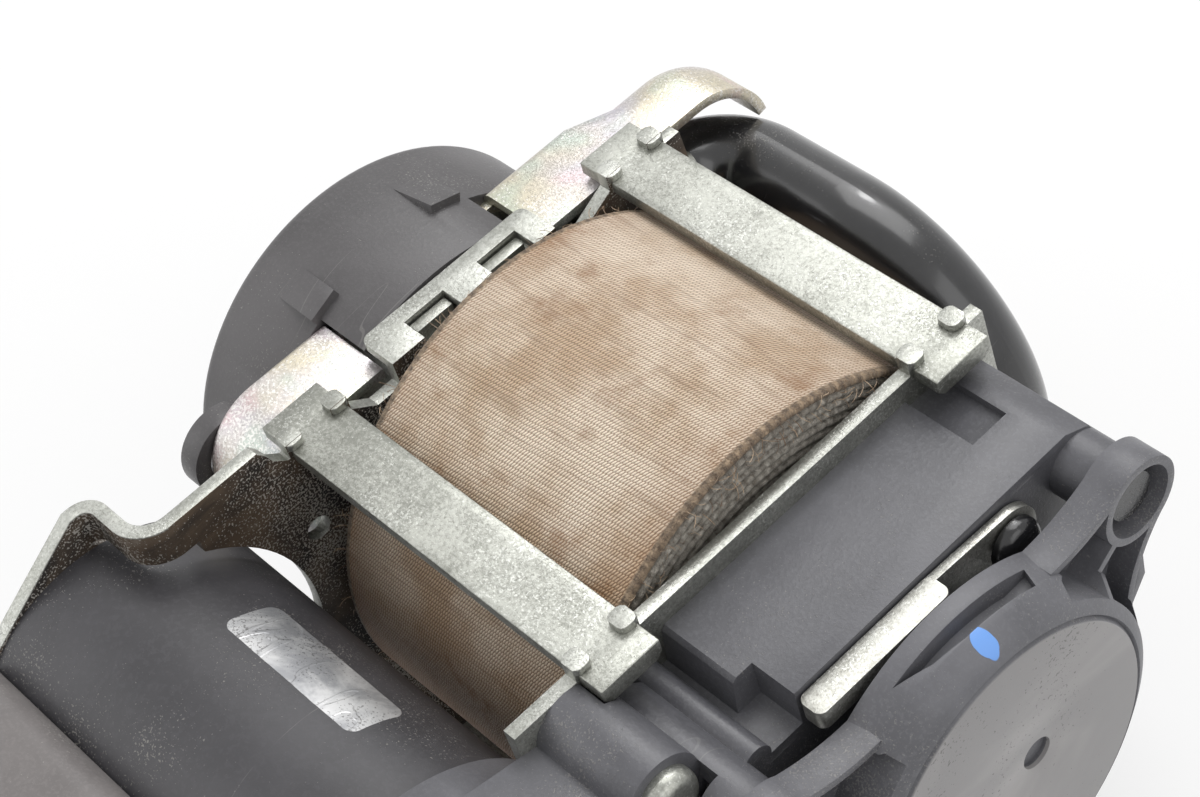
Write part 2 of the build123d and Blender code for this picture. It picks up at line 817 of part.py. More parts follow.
with BuildPart() as feeler:
    with BuildSketch(Plane.XY.offset(ball_z + sensor_ball_radius + seat_gap / 2)):
        with Locations((sensor_middle, 1.5)):
            Rectangle(sensor_right - sensor_left - 4.6, 2 * sensor_pin_y - 3)
    extrude(amount=feeler_thick)
    with BuildSketch(across(control_plane)):
        with Locations((0, ball_z + sensor_ball_radius + seat_gap / 2 + (feeler_thick + feeler_tip) / 2)):
            Rectangle(1, feeler_thick + feeler_tip)
    extrude(amount=control_width)
    ring(sensor_left + 2 + seat_gap, sensor_right - sensor_left - 4 - 2 * seat_gap, 1.6, 0, sensor_pin_y, pin_z)
    ring(sensor_left, sensor_right - sensor_left, sensor_pin_radius, 0, sensor_pin_y, pin_z)
finish(feeler, "sensor_feeler")

# Motor: can, end cap, magnets, rotor, shaft and pinion
with BuildPart() as motor_can:
    can_left = motor_left + end_cap_thick
    ring(can_left, motor_right - can_left, motor_radius, 0, motor_y, motor_z)
    fillet(motor_can.edges().group_by(Axis.X)[-1], 1)
    bore(motor_left, motor_right - motor_left - can_wall, motor_radius - can_wall, motor_y, motor_z)
    bore(motor_left, motor_right - motor_left, motor_shaft_radius + running, motor_y, motor_z)
finish(motor_can, "motor_can")

with BuildPart() as end_cap:
    ring(motor_left, end_cap_thick, motor_radius, 0, motor_y, motor_z)
    ring(motor_left - motor_boss_length, motor_boss_length, motor_boss_radius, 0, motor_y, motor_z)
    bore(motor_left - 1, end_cap_thick + 1, motor_shaft_radius + running, motor_y, motor_z)
    with BuildSketch(across(motor_left)):
        with Locations((motor_y, motor_z)):
            with PolarLocations(end_screw_pitch / 2, 2, 45):
                Circle(end_screw_radius)
    extrude(amount=end_cap_thick, mode=Mode.SUBTRACT)
finish(end_cap, "motor_end_cap")

magnet_outer = motor_radius - can_wall
magnet_left = motor_left + magnet_start
magnet_length = rotor_length + 2 * magnet_over
with BuildPart() as magnets:
    ring(magnet_left, magnet_length, magnet_outer, magnet_outer - magnet_thick, motor_y, motor_z)
    with BuildSketch(across(magnet_left)):
        with Locations((motor_y, motor_z)):
            Rectangle(pole_gap, 2 * motor_radius)
    extrude(amount=magnet_length, mode=Mode.SUBTRACT)
finish(magnets, "motor_magnets")

with BuildPart() as rotor:
    with BuildSketch(across(magnet_left + magnet_over)):
        with Locations((motor_y, motor_z)):
            Circle(rotor_radius)
            Circle(motor_shaft_radius, mode=Mode.SUBTRACT)
            with PolarLocations(rotor_radius - 3, rotor_slots):
                SlotCenterToCenter(4, 2.4, mode=Mode.SUBTRACT)
    extrude(amount=rotor_length)
finish(rotor, "motor_rotor")

with BuildPart() as motor_shaft:
    shaft_left = motor_left - 0.5
    ring(shaft_left, large_plane + gear_width + 1 - shaft_left, motor_shaft_radius, 0, motor_y, motor_z)
finish(motor_shaft, "motor_shaft")

with BuildPart() as pinion:
    gear(large_plane, pinion_teeth, idler_to_pinion + half_turn * (1 + 1 / pinion_teeth), motor_y, motor_z)
    bore(large_plane, gear_width, motor_shaft_radius, motor_y, motor_z)
finish(pinion, "motor_pinion")

with BuildPart() as end_screws:
    with BuildSketch(across(end_plane - end_screw_height)):
        with Locations((motor_y, motor_z)):
            with PolarLocations(end_screw_pitch / 2, 2, 45):
                Circle(end_screw_head)
    extrude(amount=end_screw_height)
    fillet(end_screws.edges().group_by(Axis.X)[0], 0.8)
    with BuildSketch(across(end_plane)):
        with Locations((motor_y, motor_z)):
            with PolarLocations(end_screw_pitch / 2, 2, 45):
                Circle(end_screw_radius)
    extrude(amount=sheet + end_cap_thick)
finish(end_screws, "motor_screws")

# Gears between the motor and the spool
with BuildPart() as ring_gear:
    gear(ring_plane, ring_teeth, spool_to_idler, 0, axis_z)
    ring(ring_plane + gear_width, 1.2, hub_radius + 2.5)
    bore(ring_plane, gear_width + 1.2, hub_radius)
finish(ring_gear, "ring_gear")

with BuildPart() as idler:
    gear(ring_plane, small_teeth, spool_to_idler + half_turn * (1 + 1 / small_teeth), idler_y, idler_z)
    ring(ring_plane, gear_step, small_teeth / 2 * module_mm - 4, 0, idler_y, idler_z)
    gear(large_plane, large_teeth, idler_to_pinion, idler_y, idler_z)
    bore(ring_plane, gear_step + gear_width, idler_pin_radius + running, idler_y, idler_z)
finish(idler, "idler_gear")

# Gear housing: a deep tray beside the frame, reaching round the motor's end
housing_floor = cheek_out + housing_wall
cover_seat = housing_outer - housing_wall
idler_room = large_teeth * module_mm / 2 + addendum * module_mm + 0.6 + housing_wall
with BuildSketch() as housing_outline:
    with BuildLine():
        Polyline(
            (29, housing_top),
            (step_y + 0.6, housing_top),
            (step_y, housing_top - 0.6),
            (step_y - 0.6, step_floor),
            (shoulder_y, step_floor),
            (shoulder_y, shoulder_z),
            (motor_y + 10, motor_z + motor_radius),
            (motor_y - 12, motor_z),
            (motor_y + 4, motor_z - motor_radius),
            (idler_y, idler_z - idler_room),
            (10, idler_z - idler_room + 6),
            (30, 16),
            (housing_rear, 28),
            (housing_rear, 50),
            (33, 65),
            close=True,
        )
    make_face()
    with Locations((rib_y, step_floor + 0.6), (rib_y - rib_pitch, step_floor)):
        Circle(rib_radius)
    with Locations((motor_y, motor_z)):
        Circle(motor_radius + socket_wall)
    with Locations((shoulder_y, shoulder_z)):
        Circle(shoulder_radius)
    with Locations((idler_y, idler_z)):
        Circle(idler_room)
with BuildSketch() as housing_inside:
    offset(housing_outline.sketch, amount=-housing_wall)
    with Locations((notch_y - 2, housing_top)):
        Rectangle(4 + 2 * housing_wall, 2 * (housing_top - step_floor + housing_wall), mode=Mode.SUBTRACT)
with BuildPart() as housing:
    with BuildSketch(across(cheek_out)):
        add(housing_outline.sketch)
    extrude(amount=housing_outer - cheek_out)
    with BuildSketch(across(housing_floor)):
        add(housing_inside.sketch)
        with Locations((shoulder_y, shoulder_z)):
            Circle(shoulder_radius, mode=Mode.SUBTRACT)
    extrude(amount=housing_outer - housing_floor, mode=Mode.SUBTRACT)
    socket_outer = motor_radius + socket_wall
    ring(cheek_out - socket_reach, socket_reach, socket_outer, motor_radius + running, motor_y, motor_z)
    for side in (-1, 1):
        ring(housing_floor, cover_inner - housing_floor, boss_radius, 0, side * ear_y, ear_z)
    with BuildSketch(Plane.XY.offset(housing_top)):
        with Locations(((cheek_out + slot_end) / 2, slot_y)):
            Rectangle(slot_end - cheek_out, slot_width)
    extrude(amount=-slot_depth, mode=Mode.SUBTRACT)
    with BuildSketch(Plane.XY.offset(housing_top)):
        with Locations(((notch_x + housing_outer) / 2, notch_y - 2)):
            Rectangle(housing_outer - notch_x, 4)
    extrude(amount=step_floor - housing_top, mode=Mode.SUBTRACT)
    with BuildSketch(Plane.XY.offset(bar_top - bar_thick - seat_gap)):
        with Locations((0, -bar_y)):
            Rectangle(bar_length + 2 * seat_gap, bar_width + 2 * seat_gap)
    extrude(amount=bar_thick, mode=Mode.SUBTRACT)
    bore(cheek_out, housing_wall, neck_radius + seat_gap)
    bore(cheek_out, housing_wall, motor_shaft_radius + seat_gap, motor_y, motor_z)
    ring(housing_floor, cover_seat - housing_floor, idler_pin_radius, 0, idler_y, idler_z)
    bore(housing_outer - 3.4, 3.4, shoulder_radius, shoulder_y, shoulder_z)
    bore(cheek_out, housing_outer, housing_screw_radius, shoulder_y, shoulder_z)
    for side in (-1, 1):
        bore(cover_inner - 8, 8, ear_screw_radius, side * ear_y, ear_z)
finish(housing, "gear_housing")

# Lid of the gear housing, set inside its rim
with BuildPart() as lid:
    with BuildSketch(across(cover_seat)):
        add(housing_inside.sketch)
        with Locations((shoulder_y, shoulder_z)):
            Circle(shoulder_radius, mode=Mode.SUBTRACT)
        with Locations((-ear_y, ear_z), (ear_y, ear_z)):
            Circle(boss_radius, mode=Mode.SUBTRACT)
        with Locations((0, axis_z)):
            Circle(hub_radius + running, mode=Mode.SUBTRACT)
    extrude(amount=housing_wall)
finish(lid, "gear_cover")

# Screw that holds the housing to the frame, in its pocket beside the front bar
with BuildPart() as housing_screw:
    ring(cheek_out, housing_outer - 3.4 - cheek_out, housing_screw_radius, 0, shoulder_y, shoulder_z)
    ring(housing_outer - 3.4, 2.6, housing_screw_head, 0, shoulder_y, shoulder_z)
    fillet(housing_screw.edges().group_by(Axis.X)[-1], 1.8)
finish(housing_screw, "housing_screw")

# Cassette plate between the gear cover and the spring
with BuildPart() as cassette:
    ring(housing_outer, cassette_back - housing_outer, neck_boss_radius)
    ring(cassette_back, cassette_thick, drum_bore - seat_gap)
    bore(housing_outer, cover_inner - housing_outer, arbor_radius + running)
finish(cassette, "cassette_plate")

# Arbor that turns with the spool and holds the spring's inner end
with BuildPart() as arbor:
    ring(housing_outer, cover_front - 3 - housing_outer, arbor_radius)
    with BuildSketch(across(cover_inner)):
        with Locations((arbor_radius - 1.5, axis_z)):
            Rectangle(4, 1)
    extrude(amount=cover_front - cover_inner, mode=Mode.SUBTRACT)
finish(arbor, "spring_arbor")

# Rewind spring: a flat strip wound from the arbor to the cover's wall
def spiral(offset_radius):
    """Points of one face of the wound strip."""
    steps = spring_turns * 16
    inner = arbor_radius + 2 * seat_gap + offset_radius
    points = []
    for step in range(steps + 1):
        angle = 2 * pi * step / 16
        radius = inner + spring_pitch * step / 16
        points.append((radius * cos(angle), radius * sin(angle)))
    return points


with BuildPart() as spring:
    with BuildSketch(across(cover_inner + 0.6)):
        with Locations((0, axis_z)):
            Polygon(*spiral(0), *reversed(spiral(spring_strip)), align=None)
    extrude(amount=5.4)
finish(spring, "rewind_spring")

# Spring cover: drum with a dished face, two hollow ears and the crescent recess on top
with BuildSketch() as arm:
    with Locations((ear_y, ear_z)):
        Circle(ear_radius)
    with BuildLine():
        ThreePointArc(
            (0.48 * ear_y, axis_z + 22.4),
            (0.67 * ear_y, axis_z + 22.9),
            (ear_y - 3.1, ear_z + 5.2),
        )
        Line((ear_y - 3.1, ear_z + 5.2), (ear_y + 4.2, ear_z - 4.5))
        ThreePointArc(
            (ear_y + 4.2, ear_z - 4.5),
            (ear_y - 0.9, ear_z - 10.5),
            (0.88 * ear_y, axis_z - 2),
        )
        Polyline((0.88 * ear_y, axis_z - 2), (0, axis_z), (0.48 * ear_y, axis_z + 22.4))
    make_face()
with BuildSketch() as ear_pocket:
    offset(arm.sketch, amount=-ear_wall)
    with Locations((ear_y, ear_z)):
        Circle(ear_hole_radius + ear_wall, mode=Mode.SUBTRACT)
    with Locations((0, axis_z)):
        Circle(drum_radius - pocket_cut, mode=Mode.SUBTRACT)
    with Locations(Location((ear_y, ear_z, 0), (0, 0, degrees(atan2(ear_rise, ear_y))))):
        Rectangle(4 * ear_radius, ear_wall, mode=Mode.SUBTRACT)
with BuildPart() as crescent:
    with BuildSketch(Plane.XY.offset(axis_z + disc_radius)):
        Polygon(
            (recess_left, recess_back),
            (recess_left, recess_tip),
            (recess_right - 0.7, recess_tip / 2),
            (recess_right, 0),
            (recess_right, recess_back - 1),
            align=None,
        )
    extrude(amount=rim_width + 2)
    bore(cover_inner, cover_front - cover_inner, recess_floor)
with BuildPart() as cover:
    with BuildSketch(Plane.XZ):
        with BuildLine():
            Polyline(
                (cover_inner, axis_z + drum_radius + drum_draft),
                (cover_front - rim_drop, axis_z + drum_radius),
                (cover_front - 1.2, axis_z + drum_radius - 2),
                (cover_front - 0.3, axis_z + disc_radius + 0.6),
                (cover_front - 0.8, axis_z + disc_radius + 0.3),
                (cover_front, axis_z + disc_radius - 0.2),
                (cover_front - disc_dish, axis_z + disc_radius / 2),
                (cover_front - disc_dish, axis_z),
                (cover_front - 2.6, axis_z),
                (cover_front - 2.6, axis_z + drum_bore - 1),
                (cover_front - 3.6, axis_z + drum_bore),
                (cover_inner, axis_z + drum_bore),
                close=True,
            )
        make_face()
    revolve(axis=Axis((0, 0, axis_z), (1, 0, 0)))
    with BuildSketch(across(cover_inner)):
        add(arm.sketch)
        mirror(about=Plane.YZ)
        with Locations((0, axis_z)):
            Circle(drum_radius)
            Circle(drum_bore, mode=Mode.SUBTRACT)
    extrude(amount=ear_depth)
    with BuildSketch(across(cover_inner + ear_floor)):
        add(ear_pocket.sketch)
        mirror(about=Plane.YZ)
        with Locations((ear_y, ear_z), (-ear_y, ear_z)):
            Circle(ear_hole_radius)
    extrude(amount=cover_front - cover_inner, mode=Mode.SUBTRACT)
    for side in (-1, 1):
        bore(cover_inner, ear_floor, ear_screw_radius + running, side * ear_y, ear_z)
    bore(cover_front - disc_dish - dimple_depth, dimple_depth + disc_dish, dimple_radius, dimple_y)
    add(crescent.part, mode=Mode.SUBTRACT)
finish(cover, "spring_cover")

with BuildPart() as ear_screws:
    for side in (-1, 1):
        ring(cover_inner + ear_floor, ear_screw_height, ear_screw_head, 0, side * ear_y, ear_z)
        ring(cover_inner - 7, 7 + ear_floor, ear_screw_radius, 0, side * ear_y, ear_z)
finish(ear_screws, "cassette_screws")

# Clutch lever: an upright plate on its pivot, knee and a flat bar over the housing's edge
with BuildPart() as lever:
    with BuildSketch(across(lever_plane)):
        with BuildLine():
            Polyline(
                (lever_pivot_y, lever_pivot_z - lever_radius),
                (lever_pivot_y, lever_pivot_z + lever_radius),
                (lever_knee_y, lever_top),
                (lever_knee_y, lever_top - 5),
                close=True,
            )
        make_face()
        with Locations((lever_pivot_y, lever_pivot_z)):
            Circle(lever_radius)
            Circle(lever_pin_radius + running, mode=Mode.SUBTRACT)
    extrude(amount=lever_thick)
    with BuildSketch(Plane.XY.offset(lever_top)):
        with Locations((lever_plane + lever_bar / 2, (lever_knee_y + lever_end_y) / 2 + 1)):
            RectangleRounded(lever_bar, lever_knee_y - lever_end_y + 2, 1.2)
    extrude(amount=-3)
finish(lever, "clutch_lever")

head_left = lever_plane + lever_thick + seat_gap
with BuildPart() as lever_pin:
    ring(housing_outer, head_left - housing_outer, lever_pin_radius, 0, lever_pivot_y, lever_pivot_z)
    ring(head_left, lever_head_height, lever_head_radius, 0, lever_pivot_y, lever_pivot_z)
    fillet(lever_pin.edges().group_by(Axis.X)[-1], 1.4)
finish(lever_pin, "lever_pin")

# Control unit beside the motor, hollowed to the motor's round side, with its plug socket
with BuildPart() as unit:
    with BuildSketch(across(unit_left)):
        with Locations(((unit_edge + unit_front) / 2, (unit_top + unit_foot) / 2)):
            RectangleRounded(unit_edge - unit_front, unit_top - unit_foot, unit_round)
        with Locations((motor_y, motor_z)):
            Circle(motor_radius + seat_gap, mode=Mode.SUBTRACT)
    extrude(amount=unit_right - unit_left)
    with BuildSketch(across(unit_left)):
        with Locations((unit_front + plug_in + plug_height / 2, unit_foot + plug_up + plug_width / 2)):
            RectangleRounded(plug_height, plug_width, 1)
    extrude(amount=plug_depth, mode=Mode.SUBTRACT)
finish(unit, "control_unit")

with BuildPart() as terminals:
    with BuildSketch(across(unit_left + plug_mouth)):
        with Locations((unit_front + plug_in + plug_height / 2, unit_foot + plug_up + plug_width / 2)):
            with GridLocations(terminal_pitch, terminal_pitch, 2, 4):
                Rectangle(terminal_size, terminal_size)
    extrude(amount=plug_depth - plug_mouth)
finish(terminals, "unit_terminals")
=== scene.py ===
import json
import math

import bmesh
import bpy
from mathutils import Matrix, Vector


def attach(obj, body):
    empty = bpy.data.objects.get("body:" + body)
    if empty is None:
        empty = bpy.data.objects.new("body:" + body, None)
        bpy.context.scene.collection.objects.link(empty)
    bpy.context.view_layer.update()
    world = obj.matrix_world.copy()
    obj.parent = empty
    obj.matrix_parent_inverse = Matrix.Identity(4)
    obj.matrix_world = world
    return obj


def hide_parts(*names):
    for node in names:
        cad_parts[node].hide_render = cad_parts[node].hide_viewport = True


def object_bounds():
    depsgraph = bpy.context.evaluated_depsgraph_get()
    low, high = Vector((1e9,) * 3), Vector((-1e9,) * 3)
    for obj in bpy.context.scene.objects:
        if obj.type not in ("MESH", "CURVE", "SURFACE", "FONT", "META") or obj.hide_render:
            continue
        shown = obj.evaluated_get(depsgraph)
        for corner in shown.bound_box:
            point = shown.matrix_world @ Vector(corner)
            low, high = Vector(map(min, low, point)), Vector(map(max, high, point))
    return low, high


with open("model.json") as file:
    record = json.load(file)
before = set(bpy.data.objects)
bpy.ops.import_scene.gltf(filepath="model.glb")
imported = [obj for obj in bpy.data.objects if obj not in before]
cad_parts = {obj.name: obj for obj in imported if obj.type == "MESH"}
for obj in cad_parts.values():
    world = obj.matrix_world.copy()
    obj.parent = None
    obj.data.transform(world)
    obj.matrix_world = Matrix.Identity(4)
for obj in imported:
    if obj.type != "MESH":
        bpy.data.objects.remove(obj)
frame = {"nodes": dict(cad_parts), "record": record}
cadLow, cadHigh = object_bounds()
nodes = frame["nodes"]
scene = bpy.context.scene
mm = 0.001
perMetre = 1000.0


# a node's output, on which shader and geometry maths is written as plain expressions
class Wire:
    def __init__(self, owner, socket):
        self.owner = owner
        self.socket = socket

    def to(self, operation, other=0.0):
        return self.owner.maths(operation, self, other)

    def __add__(self, other):
        return self.to("ADD", other)

    def __sub__(self, other):
        return self.to("SUBTRACT", other)

    def __rsub__(self, other):
        return self.owner.maths("SUBTRACT", other, self)

    def __mul__(self, other):
        return self.to("MULTIPLY", other)

    def __truediv__(self, other):
        return self.to("DIVIDE", other)

    def __pow__(self, other):
        return self.to("POWER", other)

    __radd__ = __add__
    __rmul__ = __mul__

    # 0 below low, 1 above high, soft between
    def step(self, low, high):
        settings = {"interpolation_type": "SMOOTHSTEP"}
        return self.owner.node("ShaderNodeMapRange", settings, {0: self, 1: low, 2: high})

    # 1 from low to high, falling to 0 over soft on both sides
    def within(self, low, high, soft):
        return self.step(low - soft, low) * (1 - self.step(high, high + soft))

    # 0 at every whole number, 1 halfway between two
    def hump(self):
        return (self.to("FRACT") * math.pi).to("SINE")


class Graph:
    def __init__(self, tree):
        self.tree = tree

    def node(self, kind, settings=None, inputs=None, output=0):
        made = self.tree.nodes.new(kind)
        for key, value in (settings or {}).items():
            setattr(made, key, value)
        for key, value in (inputs or {}).items():
            if isinstance(value, Wire):
                self.tree.links.new(value.socket, made.inputs[key])
            else:
                made.inputs[key].default_value = value
        return Wire(self, made.outputs[output])

    def maths(self, operation, first, second):
        return self.node("ShaderNodeMath", {"operation": operation}, {0: first, 1: second})

    def split(self, vector):
        first = self.node("ShaderNodeSeparateXYZ", None, {0: vector})
        return [Wire(self, first.socket.node.outputs[axis]) for axis in range(3)]

    def join(self, x, y, z):
        return self.node("ShaderNodeCombineXYZ", None, {0: x, 1: y, 2: z})


class Finish(Graph):
    def __init__(self, name, **constants):
        self.material = bpy.data.materials.new(name)
        self.material.use_nodes = True
        super().__init__(self.material.node_tree)
        self.shader = self.tree.nodes["Principled BSDF"]
        for socket, value in constants.items():
            self.shader.inputs[socket.replace("_", " ")].default_value = value

    def feed(self, socket, wire):
        self.tree.links.new(wire.socket, self.shader.inputs[socket])

    # what nearly every finish ends with: colour, roughness and fine relief
    def dress(self, colour, rough, height, depth, strength=0.5):
        self.feed("Base Color", colour)
        self.feed("Roughness", rough)
        self.feed("Normal", self.bump(height, depth, strength))
        return self.material

    def place(self, scale=(1, 1, 1), turn=(0, 0, 0)):
        spot = self.node("ShaderNodeTexCoord", output="Object")
        return self.node("ShaderNodeMapping", None, {"Vector": spot, "Rotation": turn, "Scale": scale})

    def millimetres(self):
        return self.place((perMetre, perMetre, perMetre))

    def noise(self, scale, detail=4.0, rough=0.55, distortion=0.0, where=None):
        inputs = {"Vector": where or self.place(), "Scale": scale, "Detail": detail,
                  "Roughness": rough, "Distortion": distortion}
        return self.node("ShaderNodeTexNoise", None, inputs)

    # small ragged marks, gathered where the wider noise is high; a lower edge gives more of them
    def specks(self, scale, spread, edge):
        gather = (self.noise(spread, 2.0) - 0.5) * 0.6
        return (self.noise(scale, 2.0, 0.5) + gather).step(edge, edge + 0.04)

    def blend(self, factor, first, second):
        return self.node("ShaderNodeMix", {"data_type": "RGBA"}, {0: factor, 6: first, 7: second}, 2)

    def bump(self, height, depth, strength=0.5):
        inputs = {"Height": height, "Distance": depth, "Strength": strength}
        return self.node("ShaderNodeBump", None, inputs)


# a colour as it shows on screen, 0 to 255, made linear
def tone(red, green, blue):
    def linear(value):
        value = value / 255
        return value / 12.92 if value <= 0.04045 else ((value + 0.055) / 1.055) ** 2.4

    return (linear(red), linear(green), linear(blue), 1.0)


viewpoint = {
    "place": (0.19988, -0.11357, 0.32567),
    "right": (0.66811, 0.71230, -0.21509),
    "up": (-0.46033, 0.62281, 0.63262),
    "lens": 83.36,
    "sensor": 36.0,
    "near": 0.01,
    "far": 50.0,
}


def makeCamera():
    right = Vector(viewpoint["right"]).normalized()
    up = Vector(viewpoint["up"])
    up = (up - up.dot(right) * right).normalized()
    back = right.cross(up)
    data = bpy.data.cameras.new("photoCamera")
    data.lens = viewpoint["lens"]
    data.sensor_width = viewpoint["sensor"]
    data.sensor_fit = "HORIZONTAL"
    data.clip_start = viewpoint["near"]
    data.clip_end = viewpoint["far"]
    camera = bpy.data.objects.new("photoCamera", data)
    scene.collection.objects.link(camera)
    turned = Matrix((right, up, back)).transposed().to_4x4()
    turned.translation = Vector(viewpoint["place"])
    camera.matrix_world = turned
    scene.camera = camera


studio = {
    "floorSize": 12.0,
    "floorDrop": 0.0002,
    "floorTone": (0.93, 0.93, 0.93, 1),
    "floorGlow": 0.62,
    "worldLight": 0.5,
    "white": (1, 1, 1, 1),
    # name, direction from the object, distance, size, brightness
    "lamps": (
        ("softboxTop", (-0.20, 0.50, 0.85), 1.3, 1.0, 3.0),
        ("softboxLeft", (-0.80, -0.75, 0.55), 1.4, 1.1, 0.9),
        ("softboxRight", (0.85, 0.15, 0.60), 1.5, 1.0, 1.2),
        ("keyPoint", (-0.35, 0.62, 0.78), 1.3, 0.16, 16.0),
    ),
}


# 1 for each of these kinds of ray, 0 for the light that falls on the object
def seenBy(graph, *kinds):
    seen = graph.node("ShaderNodeLightPath", output=kinds[0])
    for kind in kinds[1:]:
        seen = seen.to("MAXIMUM", graph.node("ShaderNodeLightPath", output=kind))
    return seen


def makeSky():
    scene.view_settings.view_transform = "Standard"
    world = bpy.data.worlds.new("studioWorld")
    scene.world = world
    world.use_nodes = True
    sky = Graph(world.node_tree)
    seen = seenBy(sky, "Is Camera Ray", "Is Glossy Ray", "Is Transmission Ray")
    level = sky.node("ShaderNodeMapRange", None, {0: seen, 3: studio["worldLight"], 4: 1.0})
    background = world.node_tree.nodes["Background"]
    background.inputs["Color"].default_value = studio["white"]
    world.node_tree.links.new(level.socket, background.inputs["Strength"])


def makeFloor():
    half = studio["floorSize"] / 2
    level = cadLow.z - studio["floorDrop"]
    corners = ((-half, -half), (half, -half), (half, half), (-half, half))
    mesh = bpy.data.meshes.new("floor")
    mesh.from_pydata([(x, y, level) for x, y in corners], [], [(0, 1, 2, 3)])
    floor = bpy.data.objects.new("floor", mesh)
    scene.collection.objects.link(floor)
    paper = Finish("paperFloor", Roughness=1.0, Base_Color=studio["floorTone"], Specular_IOR_Level=0.0)
    glow = paper.node("ShaderNodeEmission", None, {"Color": studio["white"], "Strength": 1.0})
    share = seenBy(paper, "Is Camera Ray", "Is Glossy Ray") * studio["floorGlow"]
    body = Wire(paper, paper.shader.outputs[0])
    mixed = paper.node("ShaderNodeMixShader", None, {0: share, 1: body, 2: glow})
    paper.tree.links.new(mixed.socket, paper.tree.nodes["Material Output"].inputs["Surface"])
    mesh.materials.append(paper.material)


def makeLamps():
    middle = (cadLow + cadHigh) / 2
    for name, direction, distance, width, brightness in studio["lamps"]:
        data = bpy.data.lights.new(name, "AREA")
        data.shape = "SQUARE"
        data.size = width
        data.energy = brightness * math.pi * width * width
        lamp = bpy.data.objects.new(name, data)
        scene.collection.objects.link(lamp)
        lamp.location = middle + Vector(direction).normalized() * distance
        lamp.rotation_mode = "QUATERNION"
        lamp.rotation_quaternion = (middle - lamp.location).to_track_quat("-Z", "Y")


makeCamera()
makeSky()
makeFloor()
makeLamps()
print("camera, floor and lamps made")


# In the dictionaries of the finishes a noise is its scale, detail, roughness and distortion,
# specks are their scale, spread and edge, and a stretch is the scale and turn of a pattern.
plating = {
    "cloud": (60.0, 6.0, 0.68, 0.3), "grain": (2300.0, 4.0, 0.7), "mottle": (0.38, 0.62),
    "pits": (3600.0, 70.0, 0.64), "pitTone": tone(104, 102, 96), "pitShare": 0.35,
    "glints": (3000.0, 90.0, 0.63), "glintTone": tone(226, 227, 222), "glintShare": 0.4,
    "metal": 0.88, "depth": 0.00007,
}


# plated sheet: pale zinc with fine grain, pits and cloudy stains
def zincColour(f, light, dark):
    cloud = f.noise(*plating["cloud"])
    grain = f.noise(*plating["grain"])
    colour = f.blend((cloud * 0.5 + grain * 0.5).step(*plating["mottle"]), dark, light)
    pits = f.specks(*plating["pits"])
    colour = f.blend(pits * plating["pitShare"], colour, plating["pitTone"])
    glints = f.specks(*plating["glints"])
    colour = f.blend(glints * plating["glintShare"], colour, plating["glintTone"])
    return colour, cloud, grain - pits * 0.5 + glints * 0.6


def zincFinish(name, light, dark, rough=0.36):
    f = Finish(name, Metallic=plating["metal"])
    colour, cloud, height = zincColour(f, light, dark)
    return f.dress(colour, rough - 0.12 + cloud * 0.26, height, plating["depth"])


# the frame's two zinc tones, where the painted shade lies, in millimetres, and the painted shade's tones
innerShade = {
    "light": tone(188, 189, 183), "dark": tone(146, 147, 140),
    "cheekFace": -26.0, "band": 0.04, "endFace": -38.4, "soft": 0.1, "edge": 0.3,
    "wingStart": -46.0, "wingTop": 75.0, "slopeFrom": -58.7, "slope": 0.618,
    "wash": (70.0, 6.0, 0.68, 0.6), "black": tone(38, 35, 34), "brown": tone(98, 84, 70),
    "paleShade": tone(150, 142, 132), "paleShadeShare": 0.6,
    "flecks": (3000.0, 60.0, 0.60), "fleckTone": tone(206, 202, 194), "fleckShare": 0.7,
    "metalLoss": 0.7,
}


# the frame's inner left side is darkened with painted shade in black and brown tones, its sheared edges are
# bare
def frameFinish(name):
    f = Finish(name)
    colour, cloud, height = zincColour(f, innerShade["light"], innerShade["dark"])
    x, y, z = f.split(f.millimetres())
    face, band, soft, edge = innerShade["cheekFace"], innerShade["band"], innerShade["soft"], innerShade["edge"]
    cheek = x.within(face - band, face + band, 0.03)
    top = innerShade["wingTop"] - (innerShade["slopeFrom"] - y).to("MAXIMUM", 0.0) * innerShade["slope"]
    wing = 1 - y.step(innerShade["wingStart"] - soft, innerShade["wingStart"])
    wing = wing * x.step(innerShade["endFace"] - soft, innerShade["endFace"])
    wing = wing * (1 - (z - top).step(-edge, -edge * 0.3))
    # painted shade: the inner cheek face and the wing below its top edge take the dark tones
    dark = cheek.to("MAXIMUM", wing)
    wash = f.noise(*innerShade["wash"])
    flecks = f.specks(*innerShade["flecks"])
    shadeTone = f.blend(wash.step(0.36, 0.62), innerShade["black"], innerShade["brown"])
    shadeTone = f.blend(wash.step(0.6, 0.72) * innerShade["paleShadeShare"], shadeTone, innerShade["paleShade"])
    shadeTone = f.blend(flecks * innerShade["fleckShare"], shadeTone, innerShade["fleckTone"])
    f.feed("Metallic", plating["metal"] - dark * innerShade["metalLoss"])
    rough = 0.26 + cloud * 0.24 + dark * 0.08
    return f.dress(f.blend(dark, colour, shadeTone), rough, height + flecks, plating["depth"])


rainbow = {
    "wash": (48.0, 3.0, 0.5, 0.6), "straw": tone(208, 200, 180), "lilac": tone(200, 196, 204),
    "tint": (95.0, 2.0, 0.5), "pink": tone(214, 186, 188), "green": tone(186, 204, 190),
    "pinkShare": 0.7, "greenShare": 0.6,
    "fine": (1900.0, 3.0, 0.7), "dull": tone(150, 146, 138),
    "pits": (3400.0, 60.0, 0.62), "pitTone": tone(122, 116, 104), "pitShare": 0.35,
    "glints": (3000.0, 75.0, 0.58), "glintTone": tone(232, 230, 226), "glintShare": 0.7,
    "metal": 0.86, "depth": 0.00009,
}


